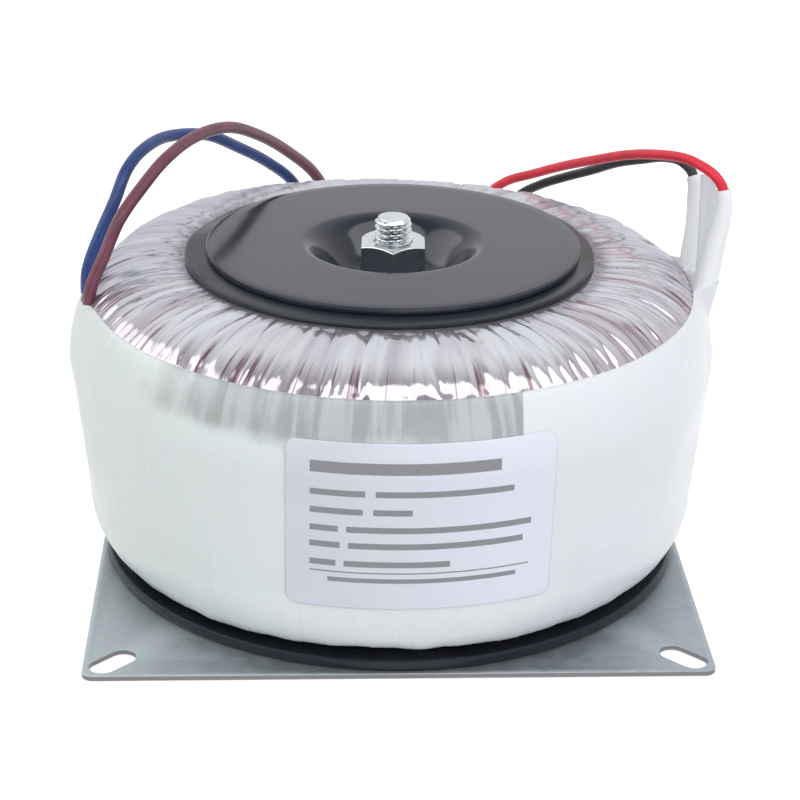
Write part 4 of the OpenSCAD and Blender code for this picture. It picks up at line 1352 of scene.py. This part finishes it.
z0, z1, outer = washer_box("spring_washer")
edge = SPRING_EDGE
section = [(WASHER_R, z0 + edge), (WASHER_R + edge, z0), (outer - edge, z0), (outer, z0 + edge),
           (outer, z1 - edge), (outer - edge, z1), (WASHER_R + edge, z1), (WASHER_R, z1 - edge)]
half = math.radians(SPLIT) / 2
turn = np.linspace(half, 2 * math.pi - half, SPRING_STEPS) + math.radians(SPLIT_AT)
points = [(r * math.cos(a + (z - z0) * SPLIT_SLANT), r * math.sin(a + (z - z0) * SPLIT_SLANT), z)
          for a in turn for r, z in section]
n = len(section)
faces = grid_faces(SPRING_STEPS, n, closed_rows=False, turned_over=True)
faces += [tuple(range(n)), tuple(range(SPRING_STEPS * n - 1, (SPRING_STEPS - 1) * n - 1, -1))]
split_ring = place_mesh("split_washer", points, faces)
finish_piece(split_ring, zinc, "zinc", "spring_washer")
sharp_by_angle(split_ring, 35)

# %% [markdown]
# ## What lies inside
# The core and the windings stay out of sight, but they are there, so they get their real finish as
# well: strip steel that is wound like a clock spring, amber film and enamelled copper. Their shapes
# are the solids' own, because nothing finer would ever show.

# %% Inner finishes
LAYERS_PER_METRE = 3300.0

core_steel, tree, shader = new_finish("strip_steel", Metallic=1.0)
out = from_axis(tree, split(tree, object_place(tree)))
layers = calc(tree, "FRACT", times(tree, out, LAYERS_PER_METRE))
fine = use_group(tree, grain_group, Scale=800.0, Detail=3.0)
strip = tint(tree, ramp(tree, layers, 0.1, 0.4), (0.20, 0.21, 0.22), (0.34, 0.35, 0.37))
wire_in(tree, shader, Base_Color=strip, Roughness=ramp(tree, fine, 0.3, 0.7, 0.35, 0.5),
        Normal=bump(tree, layers, 0.03))

inner_film, tree, shader = new_finish("amber_film", Specular_IOR_Level=0.5)
layers = use_group(tree, streak_group, Count=14.0, Stretch=20.0, Slant=8.0, Detail=2.0)
amber = tint(tree, ramp(tree, layers, 0.4, 0.6), (0.70, 0.60, 0.30), (0.80, 0.72, 0.42))
wire_in(tree, shader, Base_Color=amber, Roughness=ramp(tree, layers, 0.3, 0.7, 0.25, 0.4),
        Normal=bump(tree, layers, 0.15))

copper, tree, shader = new_finish("enamelled_copper", Metallic=0.9)
turns = use_group(tree, streak_group, Count=110.0, Stretch=3.0, Slant=0.0, Detail=1.0)
wire = tint(tree, ramp(tree, turns, 0.35, 0.65), (0.28, 0.09, 0.05), (0.62, 0.26, 0.15))
wire_in(tree, shader, Base_Color=wire, Roughness=ramp(tree, turns, 0.3, 0.7, 0.25, 0.4),
        Normal=bump(tree, turns, 0.4))

for node, material in (("core", core_steel), ("core_wrap", inner_film),
                       ("interwinding_wrap", inner_film), ("primary_winding", copper),
                       ("secondary_winding", copper)):
    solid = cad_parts[node]
    solid.data.materials.clear()
    solid.data.materials.append(material)
print("inner solids finished")

# %% [markdown]
# ## Floor
# The part stands in a light tent on a pale floor. A floor that is only lit would go grey at the far
# end, so part of its brightness is its own and the rest is lit: to the camera and in reflections it
# is plain white, and it still takes the object's soft shadow.

# %% Floor
FLOOR_SIDE, FLOOR_AT, FLOOR_OWN_LIGHT, FLOOR_GREY = 3000.0, -0.4, 0.62, (0.75, 0.75, 0.75, 1)

square = [(-1, -1), (1, -1), (1, 1), (-1, 1)]
floor = place_mesh("studio_floor", [(x * FLOOR_SIDE, y * FLOOR_SIDE, FLOOR_AT) for x, y in square],
                   [(0, 1, 2, 3)])
floor_paint = bpy.data.materials.new("studio_floor")
floor_paint.use_nodes = True
tree = floor_paint.node_tree
tree.nodes.clear()
rays = put(tree, "ShaderNodeLightPath").outputs
seen = calc(tree, "MAXIMUM", calc(tree, "MAXIMUM", rays["Is Camera Ray"], rays["Is Glossy Ray"]),
            rays["Is Transmission Ray"])
own = put(tree, "ShaderNodeEmission",
          {"Color": (1, 1, 1, 1), "Strength": times(tree, seen, FLOOR_OWN_LIGHT)})
matt = put(tree, "ShaderNodeBsdfDiffuse", {"Color": FLOOR_GREY})
both = put(tree, "ShaderNodeAddShader", {0: own.outputs[0], 1: matt.outputs[0]})
put(tree, "ShaderNodeOutputMaterial", {0: both.outputs[0]})
floor.data.materials.append(floor_paint)
print("floor", 2 * FLOOR_SIDE / 1000, "m wide")

# %% [markdown]
# ## The tent's walls
# The world is the tent. The camera sees it plain white. The object is lit by it evenly, at a lower
# level, so that pale film doesn't clip. Reflections see walls that are bright behind and beside the
# object and darker in front, or shiny pieces would have no shape, and one narrow bright strip on the
# left, which draws the highlight on the left shoulder of the coil.

# %% World
AMBIENT, WALL_DARK, WALL_BRIGHT, STRIP = 0.62, 0.22, 0.70, 1.5

world = bpy.data.worlds.new("light_tent")
bpy.context.scene.world = world
world.use_nodes = True
tree = world.node_tree
tree.nodes.clear()
rays = put(tree, "ShaderNodeLightPath").outputs
way = split(tree, put(tree, "ShaderNodeTexCoord").outputs["Generated"])
behind = ramp(tree, way["Y"], -0.25, 0.55)
beside = ramp(tree, calc(tree, "ABSOLUTE", way["X"]), 0.45, 0.9)
walls = plus(tree, WALL_DARK, times(tree, calc(tree, "MAXIMUM", behind, beside), WALL_BRIGHT))
strip = times(tree, ramp(tree, way["X"], -0.63, -0.68), ramp(tree, way["X"], -0.90, -0.84))
strip = times(tree, strip, ramp(tree, way["Z"], 0.34, 0.42))
walls = plus(tree, walls, times(tree, strip, STRIP))
straight = calc(tree, "MAXIMUM", rays["Is Camera Ray"], rays["Is Transmission Ray"])
level = plus(tree, AMBIENT, times(tree, straight, 1 - AMBIENT))
mirrored = minus(tree, walls, level)
level = plus(tree, level, times(tree, rays["Is Glossy Ray"], mirrored))
shine = put(tree, "ShaderNodeBackground", {"Color": (1, 1, 1, 1), "Strength": level})
put(tree, "ShaderNodeOutputWorld", {0: shine.outputs[0]})
print("light tent has", len(tree.nodes), "nodes")

# %% [markdown]
# ## Lamps
# One wide soft lamp above, a little in front, draws the bright line along the shoulder. A second one
# in front on the right fills the label and the wall. A lamp is given by the brightness of its face,
# so that its size can be changed without a change of its look.

# %% Lamps
def soft_lamp(name, place, width, depth, radiance, aim=(0, 0, 0.05)):
    lamp = bpy.data.lights.new(name, "AREA")
    lamp.shape, lamp.size, lamp.size_y = "RECTANGLE", width, depth
    lamp.energy = radiance * math.pi * width * depth
    made = add_object(name, lamp)
    made.location = place
    made.rotation_euler = (Vector(aim) - Vector(place)).to_track_quat("-Z", "Y").to_euler()


soft_lamp("lamp_above", (0.05, -0.35, 1.05), 2.2, 0.38, 2.35)
soft_lamp("lamp_front", (0.55, -1.7, 0.6), 1.4, 0.9, 1.5)
print("two lamps")
